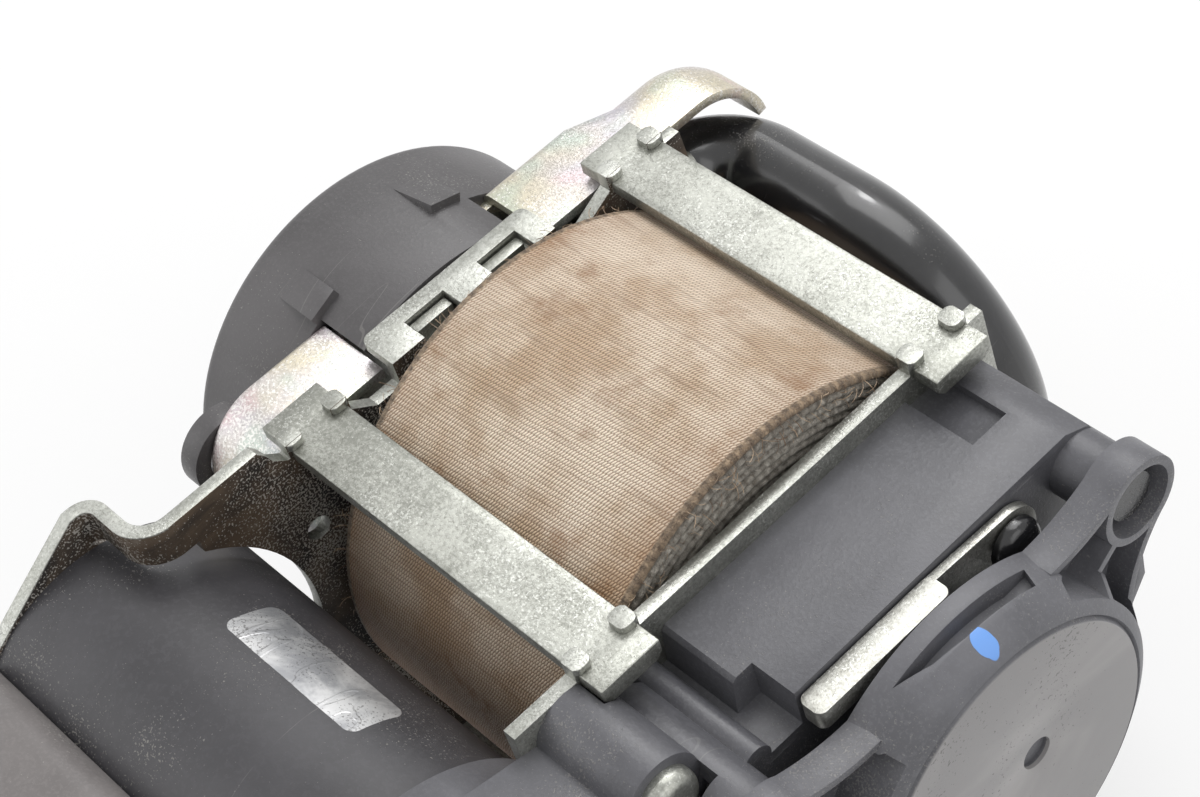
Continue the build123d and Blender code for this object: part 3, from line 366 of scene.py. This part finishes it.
# the bracket's zinc, with a faint play of straw, lilac, pink and green
def iridescentFinish(name):
    f = Finish(name, Metallic=rainbow["metal"])
    wash = f.noise(*rainbow["wash"])
    tint = f.noise(*rainbow["tint"])
    fine = f.noise(*rainbow["fine"])
    colour = f.blend(wash.step(0.38, 0.62), rainbow["straw"], rainbow["lilac"])
    colour = f.blend(tint.step(0.5, 0.66) * rainbow["pinkShare"], colour, rainbow["pink"])
    colour = f.blend((1 - tint).step(0.56, 0.7) * rainbow["greenShare"], colour, rainbow["green"])
    colour = f.blend(fine.step(0.4, 0.6) * 0.3 + 0.7, rainbow["dull"], colour)
    pits = f.specks(*rainbow["pits"])
    glints = f.specks(*rainbow["glints"])
    colour = f.blend(pits * rainbow["pitShare"], colour, rainbow["pitTone"])
    colour = f.blend(glints * rainbow["glintShare"], colour, rainbow["glintTone"])
    rough = 0.24 + fine * 0.2 + wash * 0.1
    return f.dress(colour, rough, fine - pits * 0.6 + glints * 0.6, rainbow["depth"])


steel = {
    "cloud": (60.0, 4.0), "shade": tone(118, 118, 116), "lines": (900.0, 3.0, 0.6),
    "stretch": (0.15, 1.0, 1.0), "depth": 0.00003,
}


# bare metal, brushed along x
def steelFinish(name, colour, rough):
    f = Finish(name, Metallic=1.0)
    cloud = f.noise(*steel["cloud"])
    lines = f.noise(*steel["lines"], where=f.place(steel["stretch"]))
    shade = f.blend(cloud * 0.5, colour, steel["shade"])
    return f.dress(shade, rough - 0.05 + lines * 0.18, lines, steel["depth"])


moulding = {
    "cloud": (42.0, 5.0, 0.62, 0.3), "rub": (230.0, 6.0, 0.75, 0.4), "grain": 1900.0, "depth": 0.00008,
    "specks": (3400.0, 60.0, 0.69), "dustTone": tone(166, 163, 157),
    "hair": (150.0, 1.0, 0.5, 0.3), "hairStretch": ((1.0, 0.1, 0.35), (0.4, 0.2, 0.9)),
    "hairs": (0.498, 0.502, 0.002), "scratched": (0.56, 0.64), "scratchTone": tone(160, 158, 154),
    "paleWearAndSheen": 1.55, "lift": 0.006, "coatRough": 0.12,
}


# moulded plastic with a fine grain, rubbed patches, broad lighter patches that are partly painted sheen, dust
# and a few scratches
def plasticColour(f, colour, grain, dust):
    cloud = f.noise(*moulding["cloud"])
    fine = f.noise(grain, 3.0, 0.65)
    rub = f.noise(*moulding["rub"])
    specks = f.specks(*moulding["specks"])
    hair = f.noise(*moulding["hair"], where=f.place(*moulding["hairStretch"]))
    scratch = hair.within(*moulding["hairs"]) * f.noise(45.0).step(*moulding["scratched"])
    paleWearAndSheen = tuple(min(1.0, part * moulding["paleWearAndSheen"] + moulding["lift"]) for part in colour[:3]) + (1.0,)
    # painted sheen: broad cloudy patches are mixed towards the lighter tone, together with rubbed wear
    shade = f.blend(cloud.step(0.35, 0.68) * 0.6 + rub.step(0.48, 0.75) * 0.3, colour, paleWearAndSheen)
    shade = f.blend(fine.step(0.5, 0.62) * 0.4, shade, paleWearAndSheen)
    shade = f.blend(scratch * dust * 0.5, shade, moulding["scratchTone"])
    shade = f.blend(specks * dust, shade, moulding["dustTone"])
    return shade, cloud, rub, fine + specks * 1.5


def plasticFinish(name, colour, rough, dust, coat=0.0, grain=moulding["grain"], depth=moulding["depth"]):
    f = Finish(name, Coat_Weight=coat, Coat_Roughness=moulding["coatRough"])
    shade, cloud, rub, height = plasticColour(f, colour, grain, dust)
    return f.dress(shade, rough - 0.1 + cloud * 0.1 + rub * 0.12, height, depth)


# the cassette's cover, places in millimetres
drum = {
    "plastic": tone(90, 90, 94), "dust": 0.3, "depth": 0.00005,
    "axis": 41.1, "disc": 21.9, "rim": 0.15, "face": 59.9,
    "smear": (38.0, 4.0, 0.55, 0.8), "smearStretch": ((1.0, 0.5, 0.9), (0.5, 0, 0)),
    "dull": tone(140, 138, 138), "pale": tone(164, 161, 160),
    "specks": (2000.0, 60.0, 0.73), "speckTone": tone(70, 68, 66), "speckShare": 0.6,
    "dotX": 58.7, "dotY": 1.3, "dotFloor": 60.0, "dotLong": 1.75, "dotWide": 1.4,
    "wobble": (420.0, 2.0), "dotTone": tone(118, 168, 240),
}


# the cassette's cover: satin grey with a glossier disc whose lighter grey is painted reflection, and a dab of
# blue paint
def coverFinish(name):
    f = Finish(name)
    shade, cloud, rub, height = plasticColour(f, drum["plastic"], moulding["grain"], drum["dust"])
    x, y, z = f.split(f.millimetres())
    reach = (y * y + (z - drum["axis"]) * (z - drum["axis"])) ** 0.5
    disc = 1 - reach.step(drum["disc"], drum["disc"] + drum["rim"])
    disc = disc * x.step(drum["face"] - 0.1, drum["face"])
    # painted reflection: the disc's face is coloured in streaks of lighter and duller grey
    smear = f.noise(*drum["smear"], where=f.place(*drum["smearStretch"]))
    face = f.blend(smear.step(0.35, 0.66), drum["dull"], drum["pale"])
    specks = f.specks(*drum["specks"])
    face = f.blend(specks * drum["speckShare"], face, drum["speckTone"])
    shade = f.blend(disc, shade, face)
    wobble = (f.noise(*drum["wobble"]) - 0.5) * 0.3
    acrossDot = ((x - drum["dotX"]) / drum["dotLong"]) ** 2.0
    away = (acrossDot + ((y - drum["dotY"]) / drum["dotWide"]) ** 2.0) ** 0.5
    dab = (1 - (away + wobble).step(0.94, 1.0)) * z.step(drum["dotFloor"], drum["dotFloor"] + 0.1)
    rough = 0.34 + cloud * 0.1 + rub * 0.1 - disc * 0.06
    height = height * (1 - disc * 0.8) + dab * 2.0
    return f.dress(f.blend(dab, shade, drum["dotTone"]), rough, height, drum["depth"])


# the motor's can, the label's place in millimetres and degrees round the can
label = {
    "can": tone(57, 56, 59), "grain": 1300.0, "dust": 0.5, "depth": 0.00005,
    "axisY": -61.6, "axisZ": 47.4, "radius": 21.5,
    "left": -15.2, "right": 10.3, "low": 47.0, "high": 70.0, "corner": 1.6,
    "torn": (260.0, 3.0, 0.6), "tornDeep": 0.2, "edge": (0.02, 0.12),
    "foil": (90.0, 5.0, 0.7, 0.5), "dull": tone(150, 151, 154), "bright": tone(206, 206, 206),
    "crease": (160.0, 2.0, 0.5), "creaseStretch": ((1.0, 0.3, 0.3), (0.9, 0.0, 0.3)),
    "rubbed": (3000.0, 70.0, 0.62), "rubbedTone": tone(84, 82, 80), "rubbedShare": 0.6,
    "metal": 0.55,
}


# how far each spot lies outside the straight sides of the label, round its rounded corners
def besideLabel(f):
    x, y, z = f.split(f.millimetres())
    halfLong = (label["right"] - label["left"]) / 2
    halfArc = math.radians(label["high"] - label["low"]) / 2 * label["radius"]
    degrees = (z - label["axisZ"]).to("ARCTAN2", y - label["axisY"]) * (180 / math.pi)
    along = (x - (label["left"] + label["right"]) / 2).to("ABSOLUTE")
    along = (along - halfLong + label["corner"]).to("MAXIMUM", 0.0)
    around = (degrees - (label["low"] + label["high"]) / 2).to("ABSOLUTE")
    around = around * (math.pi / 180 * label["radius"])
    around = (around - halfArc + label["corner"]).to("MAXIMUM", 0.0)
    return (along * along + around * around) ** 0.5


# the motor's black can with the bare silver place of its label
def motorFinish(name):
    f = Finish(name)
    shade, cloud, rub, height = plasticColour(f, label["can"], label["grain"], label["dust"])
    torn = f.noise(*label["torn"]) * label["tornDeep"]
    full, gone = label["edge"]
    patch = 1 - (besideLabel(f) + torn).step(label["corner"] + full, label["corner"] + gone)
    foil = f.noise(*label["foil"])
    crease = f.noise(*label["crease"], where=f.place(*label["creaseStretch"])).within(0.49, 0.51, 0.01)
    silver = f.blend(foil.step(0.38, 0.64), label["dull"], label["bright"])
    silver = f.blend(f.specks(*label["rubbed"]) * label["rubbedShare"], silver, label["rubbedTone"])
    f.feed("Metallic", patch * label["metal"])
    rough = 0.34 + cloud * 0.1 + rub * 0.1 - patch * 0.06
    height = height * (1 - patch * 0.7) + patch * (3.0 + crease * 1.5)
    return f.dress(f.blend(patch, shade, silver), rough, height, label["depth"])


# the webbing's sizes in millimetres, with its rows of slanting strokes and its braided edge
cloth = {
    "inner": 11.0, "outer": 36.4, "turns": 20.0, "thick": 1.12, "width": 46.6, "length": 2930.0,
    "shift": 1.1, "axis": 41.1, "perTurn": 96, "rounding": 0.42,
    "wander": 0.45, "wanderWaves": 22.0, "wanderSeed": 3.7,
    "pucker": 0.10, "puckerAlong": 90.0, "puckerAcross": 30.0,
    "stroke": 0.46, "row": 0.66, "slant": 0.28, "lean": 0.10, "jump": 0.6, "braid": 1.5,
    "depth": 0.00022, "sheen": 0.12, "sheenRough": 0.4,
}

# noises here run on the flat webbing, in millimetres
belt = {
    "shake": (0.5, 3.0, 0.6), "fuzz": (3.2, 4.0, 0.7), "stain": (0.07, 6.0, 0.62), "dirt": (0.12, 5.0, 0.6),
    "streak": (0.5, 4.0, 0.65), "streakStretch": (0.12, 1.3, 1), "tangle": (1.1, 5.0, 0.75),
    "clean": tone(250, 234, 214), "stained": tone(216, 188, 158),
    "cleanGapShade": tone(160, 132, 108), "stainedGapShade": tone(122, 96, 72),
    "streakTone": tone(150, 122, 98), "fuzzTone": tone(226, 208, 188), "soilAndShadeTone": tone(142, 96, 50),
    "edgeInside": tone(208, 204, 194), "edgeOutside": tone(188, 162, 132),
    "gapInside": tone(104, 98, 88), "gapOutside": tone(60, 44, 32),
    "wornFrom": 0.86, "wornOver": 0.1,
}


# rows of short slanting strokes, each row starting at its own place
def weave(f, across, along):
    rows = (along - across * cloth["lean"]) / cloth["row"]
    start = f.node("ShaderNodeTexWhiteNoise", {"noise_dimensions": "1D"}, {"W": rows.to("FLOOR")})
    strokes = (across - rows.to("FRACT") * cloth["slant"]) / cloth["stroke"] + start * cloth["jump"]
    return (0.08 + strokes.hump() * 0.92) * (0.42 + rows.hump() * 0.58)


def clothFinish(name):
    f = Finish(name, Sheen_Weight=cloth["sheen"], Sheen_Roughness=cloth["sheenRough"])
    flat = f.node("ShaderNodeUVMap", {"uv_map": "cloth"})
    across, along, _ = f.split(flat)
    shake = (f.noise(*belt["shake"], where=flat) - 0.5) * 0.9
    fuzz = f.noise(*belt["fuzz"], where=flat)
    thread = weave(f, across, along + shake * 0.35)

    # the face: stained threads with painted highlight on their crests, over gaps darkened as painted shade,
    # streaks along the strip and loose fuzz
    stain = f.noise(*belt["stain"], where=flat).step(0.36, 0.62)
    stretched = f.node("ShaderNodeMapping", None, {"Vector": flat, "Scale": belt["streakStretch"]})
    streak = f.noise(*belt["streak"], where=stretched)
    light = f.blend(stain, belt["stained"], belt["clean"])
    gapShade = f.blend(stain, belt["stainedGapShade"], belt["cleanGapShade"])
    # painted highlight and shade: the strokes' crests take the light tone, the gaps between them the dark one
    colour = f.blend(thread.step(0.1, 0.74), gapShade, light)
    colour = f.blend(streak.step(0.5, 0.68) * 0.4, colour, belt["streakTone"])
    colour = f.blend(fuzz.step(0.52, 0.7) * 0.35, colour, belt["fuzzTone"])

    # soil in patches and near both edges, and browner low on the roll, which is partly soil and partly
    # painted shade
    fromMiddle = across.to("ABSOLUTE")
    dirt = f.noise(*belt["dirt"], where=flat).step(0.56, 0.72)
    rim = fromMiddle.step(cloth["width"] * 0.3, cloth["width"] * 0.5)
    height = f.split(f.millimetres())[2]
    # painted shade: the roll turns browner towards the bottom
    low = 1 - height.step(cloth["axis"] - 6.0, cloth["axis"] + 24.0)
    soilAndShade = (dirt * 0.45 + rim * 0.25 + low * 0.78).to("MINIMUM", 0.88)
    colour = f.blend(soilAndShade, colour, belt["soilAndShadeTone"])

    # the braided edges, browner on the outer turns
    edge = (fromMiddle - cloth["width"] / 2).within(-0.8, 9.0, 0.4)
    worn = along + shake * 60.0 - cloth["length"] * belt["wornFrom"]
    worn = worn.step(0.0, cloth["length"] * belt["wornOver"])
    braid = (along / cloth["braid"] + fuzz * 1.6).hump()
    tangle = f.noise(*belt["tangle"], where=f.millimetres()).step(0.42, 0.6)
    gaps = (1 - braid * 0.7) * 0.55 + tangle * 0.4
    plaitTone = f.blend(worn, belt["edgeInside"], belt["edgeOutside"])
    gapTone = f.blend(worn, belt["gapInside"], belt["gapOutside"])
    colour = f.blend(edge * 0.9, colour, f.blend(gaps, plaitTone, gapTone))

    height = thread * (1 - edge) + (braid + tangle) * edge + fuzz * 0.5
    return f.dress(colour, 0.78 - thread * 0.18, height, cloth["depth"], 0.8)


fray = {
    "count": 900, "turns": 3, "long": 2.2, "thick": 0.11, "loose": 0.35, "lean": 0.55, "seed": 11,
    "shortest": 0.35, "inset": 0.1, "sink": 0.4, "pieces": 4, "sides": 3,
    "bend": (0.1, 0.0, 0.6), "tip": (0.7, 0.15, 0.8),
    "dark": tone(112, 84, 58), "pale": tone(206, 180, 150),
}


def fibreFinish(name):
    f = Finish(name, Roughness=0.8, Sheen_Weight=0.3)
    shade = f.noise(420.0, 3.0, 0.6)
    f.feed("Base Color", f.blend(shade.step(0.38, 0.62), fray["dark"], fray["pale"]))
    f.feed("Normal", f.bump(f.noise(5200.0), 0.00004))
    return f.material


finishes = {
    "zinc": zincFinish("zincPlate", tone(184, 185, 178), tone(144, 145, 138)),
    "bar": zincFinish("zincBar", tone(178, 179, 172), tone(132, 133, 126), 0.4),
    "lever": zincFinish("brightLever", tone(188, 188, 182), tone(146, 145, 138), 0.34),
    "frame": frameFinish("framePlate"),
    "iridescent": iridescentFinish("rainbowZinc"),
    "steel": steelFinish("groundSteel", tone(190, 190, 186), 0.3),
    "spring": steelFinish("blueSpring", tone(150, 156, 168), 0.26),
    "cast": steelFinish("castSpool", tone(168, 170, 168), 0.42),
    "ball": steelFinish("ballAlloy", tone(180, 182, 186), 0.24),
    "generator": steelFinish("generatorShell", tone(185, 183, 176), 0.28),
    "brass": steelFinish("brassTerminal", tone(214, 180, 104), 0.28),
    "magnet": steelFinish("magnetDark", tone(86, 86, 90), 0.45),
    "bush": plasticFinish("bushPlastic", tone(186, 182, 170), 0.4, 0.1),
    "white": plasticFinish("whitePlastic", tone(222, 220, 212), 0.38, 0.1),
    "grey": plasticFinish("greyPlastic", tone(84, 84, 88), 0.38, 0.35),
    "cap": plasticFinish("capPlastic", tone(76, 74, 75), 0.4, 0.5),
    "unit": plasticFinish("unitPlastic", tone(106, 102, 101), 0.42, 0.6),
    "rivet": plasticFinish("blackRivet", tone(18, 18, 20), 0.2, 0.2, 0.3),
    "tube": plasticFinish("tubeSkin", tone(20, 20, 22), 0.24, 0.25, 0.5, grain=800.0, depth=0.00003),
    "drum": coverFinish("coverPlastic"),
    "motor": motorFinish("motorSkin"),
    "cloth": clothFinish("beltCloth"),
    "fibre": fibreFinish("frayedFibre"),
}

slotFinish = {
    "zinc_plated": "zinc", "iridescent_zinc": "iridescent", "steel": "steel", "spring_steel": "spring",
    "cast_spool": "cast", "ball_alloy": "ball", "generator_alloy": "generator", "webbing": "cloth",
    "bush_plastic": "bush", "white_plastic": "white", "grey_plastic": "grey", "cover_plastic": "cap",
    "unit_plastic": "unit", "black_tube": "tube", "motor_black": "motor", "magnet": "magnet",
    "black_rivet": "rivet", "brass": "brass",
}

# parts whose finish isn't the usual one of their slot
nodeFinish = {
    "frame": "frame", "tie_bar_front": "bar", "tie_bar_rear": "bar", "spring_cover": "drum",
    "mechanism_cover": "cap", "clutch_lever": "lever", "cassette_screws": "rivet",
}


def chosenFinish(name, slot):
    return finishes[nodeFinish.get(name, slotFinish[slot])]


slots = {part["node"]: part["material_slot"] for part in frame["record"]["subparts"]}
for name, slot in slots.items():
    for held in nodes[name].material_slots:
        held.material = chosenFinish(name, slot)
print("finishes put on the solid parts")


# how wide each part's edges are rounded over, in millimetres
softEdges = {
    "spring_cover": 0.45, "gear_housing": 0.4, "mechanism_cover": 0.5, "frame": 0.22,
    "tie_bar_front": 0.3, "tie_bar_rear": 0.3, "tensioner_bracket": 0.25, "clutch_lever": 0.35,
    "ball_guide": 0.25, "control_unit": 0.4,
}

# distances in metres, angles in degrees
rounding = {
    "merge": 2e-6, "speck": 1e-6, "flat": 0.6, "sharpFrom": 32, "creaseFrom": 40, "rings": 2,
    "order": (0.7071, 0.3183, 0.1113),
}


# when a corner comes, where corners are put in order of place
def turnOf(corner):
    return math.fsum(part * share for part, share in zip(corner.co, rounding["order"]))


# a copy of a solid part with its sharp edges rounded over
def softened(name, width):
    source = nodes[name]
    shape = bmesh.new()
    shape.from_mesh(source.data)
    shape.transform(source.matrix_world)
    bmesh.ops.remove_doubles(shape, verts=shape.verts, dist=rounding["merge"])
    bmesh.ops.dissolve_limit(shape, angle_limit=math.radians(rounding["flat"]),
                             verts=shape.verts, edges=shape.edges)
    shape.normal_update()
    sharpFrom = math.radians(rounding["sharpFrom"])
    sharp = [edge for edge in shape.edges
             if len(edge.link_faces) == 2 and edge.calc_face_angle() > sharpFrom]
    bmesh.ops.bevel(shape, geom=sharp, offset=width * mm, offset_type="OFFSET",
                    segments=rounding["rings"], profile=0.5, affect="EDGES", clamp_overlap=True)
    bmesh.ops.remove_doubles(shape, verts=shape.verts, dist=rounding["merge"])
    bmesh.ops.triangulate(shape, faces=[face for face in shape.faces if len(face.verts) > 4])
    bmesh.ops.dissolve_degenerate(shape, edges=shape.edges, dist=rounding["speck"])
    bmesh.ops.recalc_face_normals(shape, faces=shape.faces)
    # the bevel leaves its corners and faces in a chance order, so they are put in order of place
    shape.verts.sort(key=turnOf)
    shape.faces.sort(key=lambda face: math.fsum(turnOf(corner) for corner in face.verts))
    openEdges = sum(1 for edge in shape.edges if len(edge.link_faces) != 2)
    mesh = bpy.data.meshes.new(name + "Soft")
    shape.to_mesh(mesh)
    shape.free()
    mesh.polygons.foreach_set("use_smooth", [True] * len(mesh.polygons))
    mesh.set_sharp_from_angle(angle=math.radians(rounding["creaseFrom"]))
    made = bpy.data.objects.new(name + "Soft", mesh)
    scene.collection.objects.link(made)
    mesh.materials.append(chosenFinish(name, slots[name]))
    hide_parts(name)
    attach(made, "lever" if name == "clutch_lever" else "base")
    print("softened", name, len(mesh.polygons), "open edges", openEdges)


for name, width in softEdges.items():
    softened(name, width)
print("moulded and sheared edges softened")


class Shape(Graph):
    def __init__(self, name, inputs):
        super().__init__(bpy.data.node_groups.new(name, "GeometryNodeTree"))
        self.values = inputs
        sockets = self.tree.interface
        sockets.new_socket("Geometry", in_out="INPUT", socket_type="NodeSocketGeometry")
        for key in inputs:
            sockets.new_socket(key, in_out="INPUT", socket_type="NodeSocketFloat")
        sockets.new_socket("Geometry", in_out="OUTPUT", socket_type="NodeSocketGeometry")
        self.entry = self.tree.nodes.new("NodeGroupInput")
        self.exit = self.tree.nodes.new("NodeGroupOutput")

    def size(self, key):
        return Wire(self, self.entry.outputs[key])

    def spiral(self, turns, inner, outer):
        return self.node("GeometryNodeCurveSpiral", None, {
            "Resolution": cloth["perTurn"], "Rotations": turns,
            "Start Radius": inner, "End Radius": outer, "Height": 0.0,
        })

    def moved(self, geometry, position):
        return self.node("GeometryNodeSetPosition", None, {"Geometry": geometry, "Position": position})

    # ends the tree, runs it once and hands back a plain mesh object
    def build(self, name, geometry, material):
        loose = self.node("GeometryNodeRealizeInstances", None, {0: geometry})
        ended = self.node("GeometryNodeSetMaterial", None, {0: loose, "Material": material})
        self.tree.links.new(ended.socket, self.exit.inputs[0])
        carrier = bpy.data.objects.new(name + "Carrier", bpy.data.meshes.new(name + "Carrier"))
        scene.collection.objects.link(carrier)
        modifier = carrier.modifiers.new("shape", "NODES")
        modifier.node_group = self.tree
        for item in self.tree.interface.items_tree:
            if item.in_out == "INPUT" and item.name in self.values:
                modifier[item.identifier] = float(self.values[item.name])
        ready = carrier.evaluated_get(bpy.context.evaluated_depsgraph_get())
        mesh = bpy.data.meshes.new_from_object(ready)
        mesh.name = name
        carrier.modifiers.remove(modifier)
        bpy.data.objects.remove(carrier)
        made = bpy.data.objects.new(name, mesh)
        scene.collection.objects.link(made)
        return made


# the strip is wound about z at the origin, then turned onto the spool's axis along x
def makeWebbing():
    pitch = (cloth["outer"] - cloth["inner"]) / cloth["turns"]
    s = Shape("woundStrip", {
        "Inner": (cloth["inner"] + pitch / 2) * mm, "Outer": (cloth["outer"] - cloth["thick"] / 2) * mm,
        "Turns": cloth["turns"] - 1, "Width": cloth["width"] * mm, "Thickness": cloth["thick"] * mm,
        "Shift": cloth["shift"] * mm, "Axis": cloth["axis"] * mm,
        "Wander": cloth["wander"] * mm, "Pucker": cloth["pucker"] * mm,
    })
    spine = s.spiral(s.size("Turns"), s.size("Inner"), s.size("Outer"))
    run = s.node("GeometryNodeSplineParameter", output="Length")
    held = s.node("GeometryNodeCaptureAttribute", None, {0: spine})
    holder = held.socket.node
    holder.capture_items.new("FLOAT", "Run")
    s.tree.links.new(run.socket, holder.inputs["Run"])
    kept = Wire(s, holder.outputs["Run"])
    thick = s.size("Thickness")
    profile = s.node("GeometryNodeCurvePrimitiveQuadrilateral", None, {0: thick, 1: s.size("Width")})
    rounded = s.node("GeometryNodeFilletCurve", {"mode": "POLY"},
                     {"Curve": profile, "Count": 2, "Radius": thick * cloth["rounding"]})
    strip = s.node("GeometryNodeCurveToMesh", None,
                   {"Curve": held, "Profile Curve": rounded, "Fill Caps": True})
    x, y, z = s.split(s.node("GeometryNodeInputPosition"))
    mapped = s.node("GeometryNodeStoreNamedAttribute", {"data_type": "FLOAT2", "domain": "CORNER"},
                    {"Geometry": strip, "Name": "cloth", "Value": s.join(z * perMetre, kept * perMetre, 0.0)})

    # each turn lies a little to one side of the last, and its face isn't quite even
    seed = s.join(kept * cloth["wanderWaves"], cloth["wanderSeed"], 0.0)
    drift = s.node("ShaderNodeTexNoise", None, {"Vector": seed, "Scale": 1.0, "Detail": 2.0})
    ripple = s.join(kept * cloth["puckerAlong"], z * cloth["puckerAcross"], 0.0)
    wave = s.node("ShaderNodeTexNoise", None, {"Vector": ripple, "Scale": 1.0, "Detail": 3.0})
    reach = (x * x + y * y) ** 0.5
    grown = 1 + (wave - 0.5) * s.size("Pucker") * 2.0 / reach
    aside = (drift - 0.5) * s.size("Wander") * 2.0
    wound = s.join(z + s.size("Shift") + aside, x * grown, y * grown + s.size("Axis"))
    smooth = s.node("GeometryNodeSetShadeSmooth", None, {0: s.moved(mapped, wound)})
    made = s.build("woundWebbing", smooth, finishes["cloth"])
    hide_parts("webbing_roll")
    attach(made, "spool")
    return made


# loose fibres along both edges of the outer turns
def makeFray():
    pitch = (cloth["outer"] - cloth["thick"] / 2 - cloth["inner"]) / cloth["turns"]
    s = Shape("edgeFray", {
        "Outer": (cloth["outer"] - cloth["thick"] * fray["sink"]) * mm, "Pitch": pitch * mm,
        "Turns": fray["turns"], "Long": fray["long"] * mm, "Thick": fray["thick"] * mm,
        "Loose": fray["loose"] * mm, "Lean": fray["lean"],
        "Half": (cloth["width"] / 2 - fray["inset"]) * mm,
        "Shift": cloth["shift"] * mm, "Axis": cloth["axis"] * mm,
    })

    # the random node's vector range is its first two sockets, its number range the next two
    def chance(low, high, seed):
        kind, first = ("FLOAT_VECTOR", 0) if isinstance(low, tuple) else ("FLOAT", 2)
        inputs = {first: low, first + 1: high, "Seed": fray["seed"] + seed}
        return s.node("FunctionNodeRandomValue", {"data_type": kind}, inputs, first // 2)

    long = s.size("Long")
    spine = s.node("GeometryNodeCurveQuadraticBezier", None, {
        "Resolution": fray["pieces"], "Start": (0, 0, 0),
        "Middle": s.join(*[long * share for share in fray["bend"]]),
        "End": s.join(*[long * share for share in fray["tip"]]),
    })
    section = s.node("GeometryNodeCurvePrimitiveCircle", None,
                     {"Resolution": fray["sides"], "Radius": s.size("Thick") * 0.5})
    fibre = s.node("GeometryNodeCurveToMesh", None,
                   {"Curve": spine, "Profile Curve": section, "Fill Caps": True})
    outer, turns = s.size("Outer"), s.size("Turns")
    path = s.spiral(turns, outer - s.size("Pitch") * turns, outer)
    roots = s.node("GeometryNodeCurveToPoints", {"mode": "COUNT"}, {"Curve": path, "Count": fray["count"]})
    side = chance(0.0, 1.0, 1).to("GREATER_THAN", 0.5) * 2.0 - 1.0
    strayX, strayY, strayZ = s.split(chance((-1, -1, -1), (1, 1, 1), 2))
    loose = s.size("Loose")
    drift = s.join(strayX * loose, strayY * loose, side * s.size("Half") + strayZ * loose)
    spread = s.node("GeometryNodeSetPosition", None, {"Geometry": roots, "Offset": drift})
    tiltX, tiltY, turn = s.split(chance((-1, -1, 0), (1, 1, 2 * math.pi), 3))
    lean = s.size("Lean")
    pose = s.join(tiltX * lean + (1 - side) * (math.pi / 2), tiltY * lean, turn)
    hairs = s.node("GeometryNodeInstanceOnPoints", None, {
        "Points": spread, "Instance": fibre, "Rotation": pose,
        "Scale": chance(fray["shortest"], 1.0, 4),
    })
    loosened = s.node("GeometryNodeRealizeInstances", None, {0: hairs})
    x, y, z = s.split(s.node("GeometryNodeInputPosition"))
    placed = s.moved(loosened, s.join(z + s.size("Shift"), x, y + s.size("Axis")))
    made = s.build("webbingFray", placed, finishes["fibre"])
    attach(made, "spool")
    return made


roll = makeWebbing()
edges = makeFray()
print("webbing wound,", len(roll.data.polygons), "faces, frayed edges", len(edges.data.polygons), "faces")
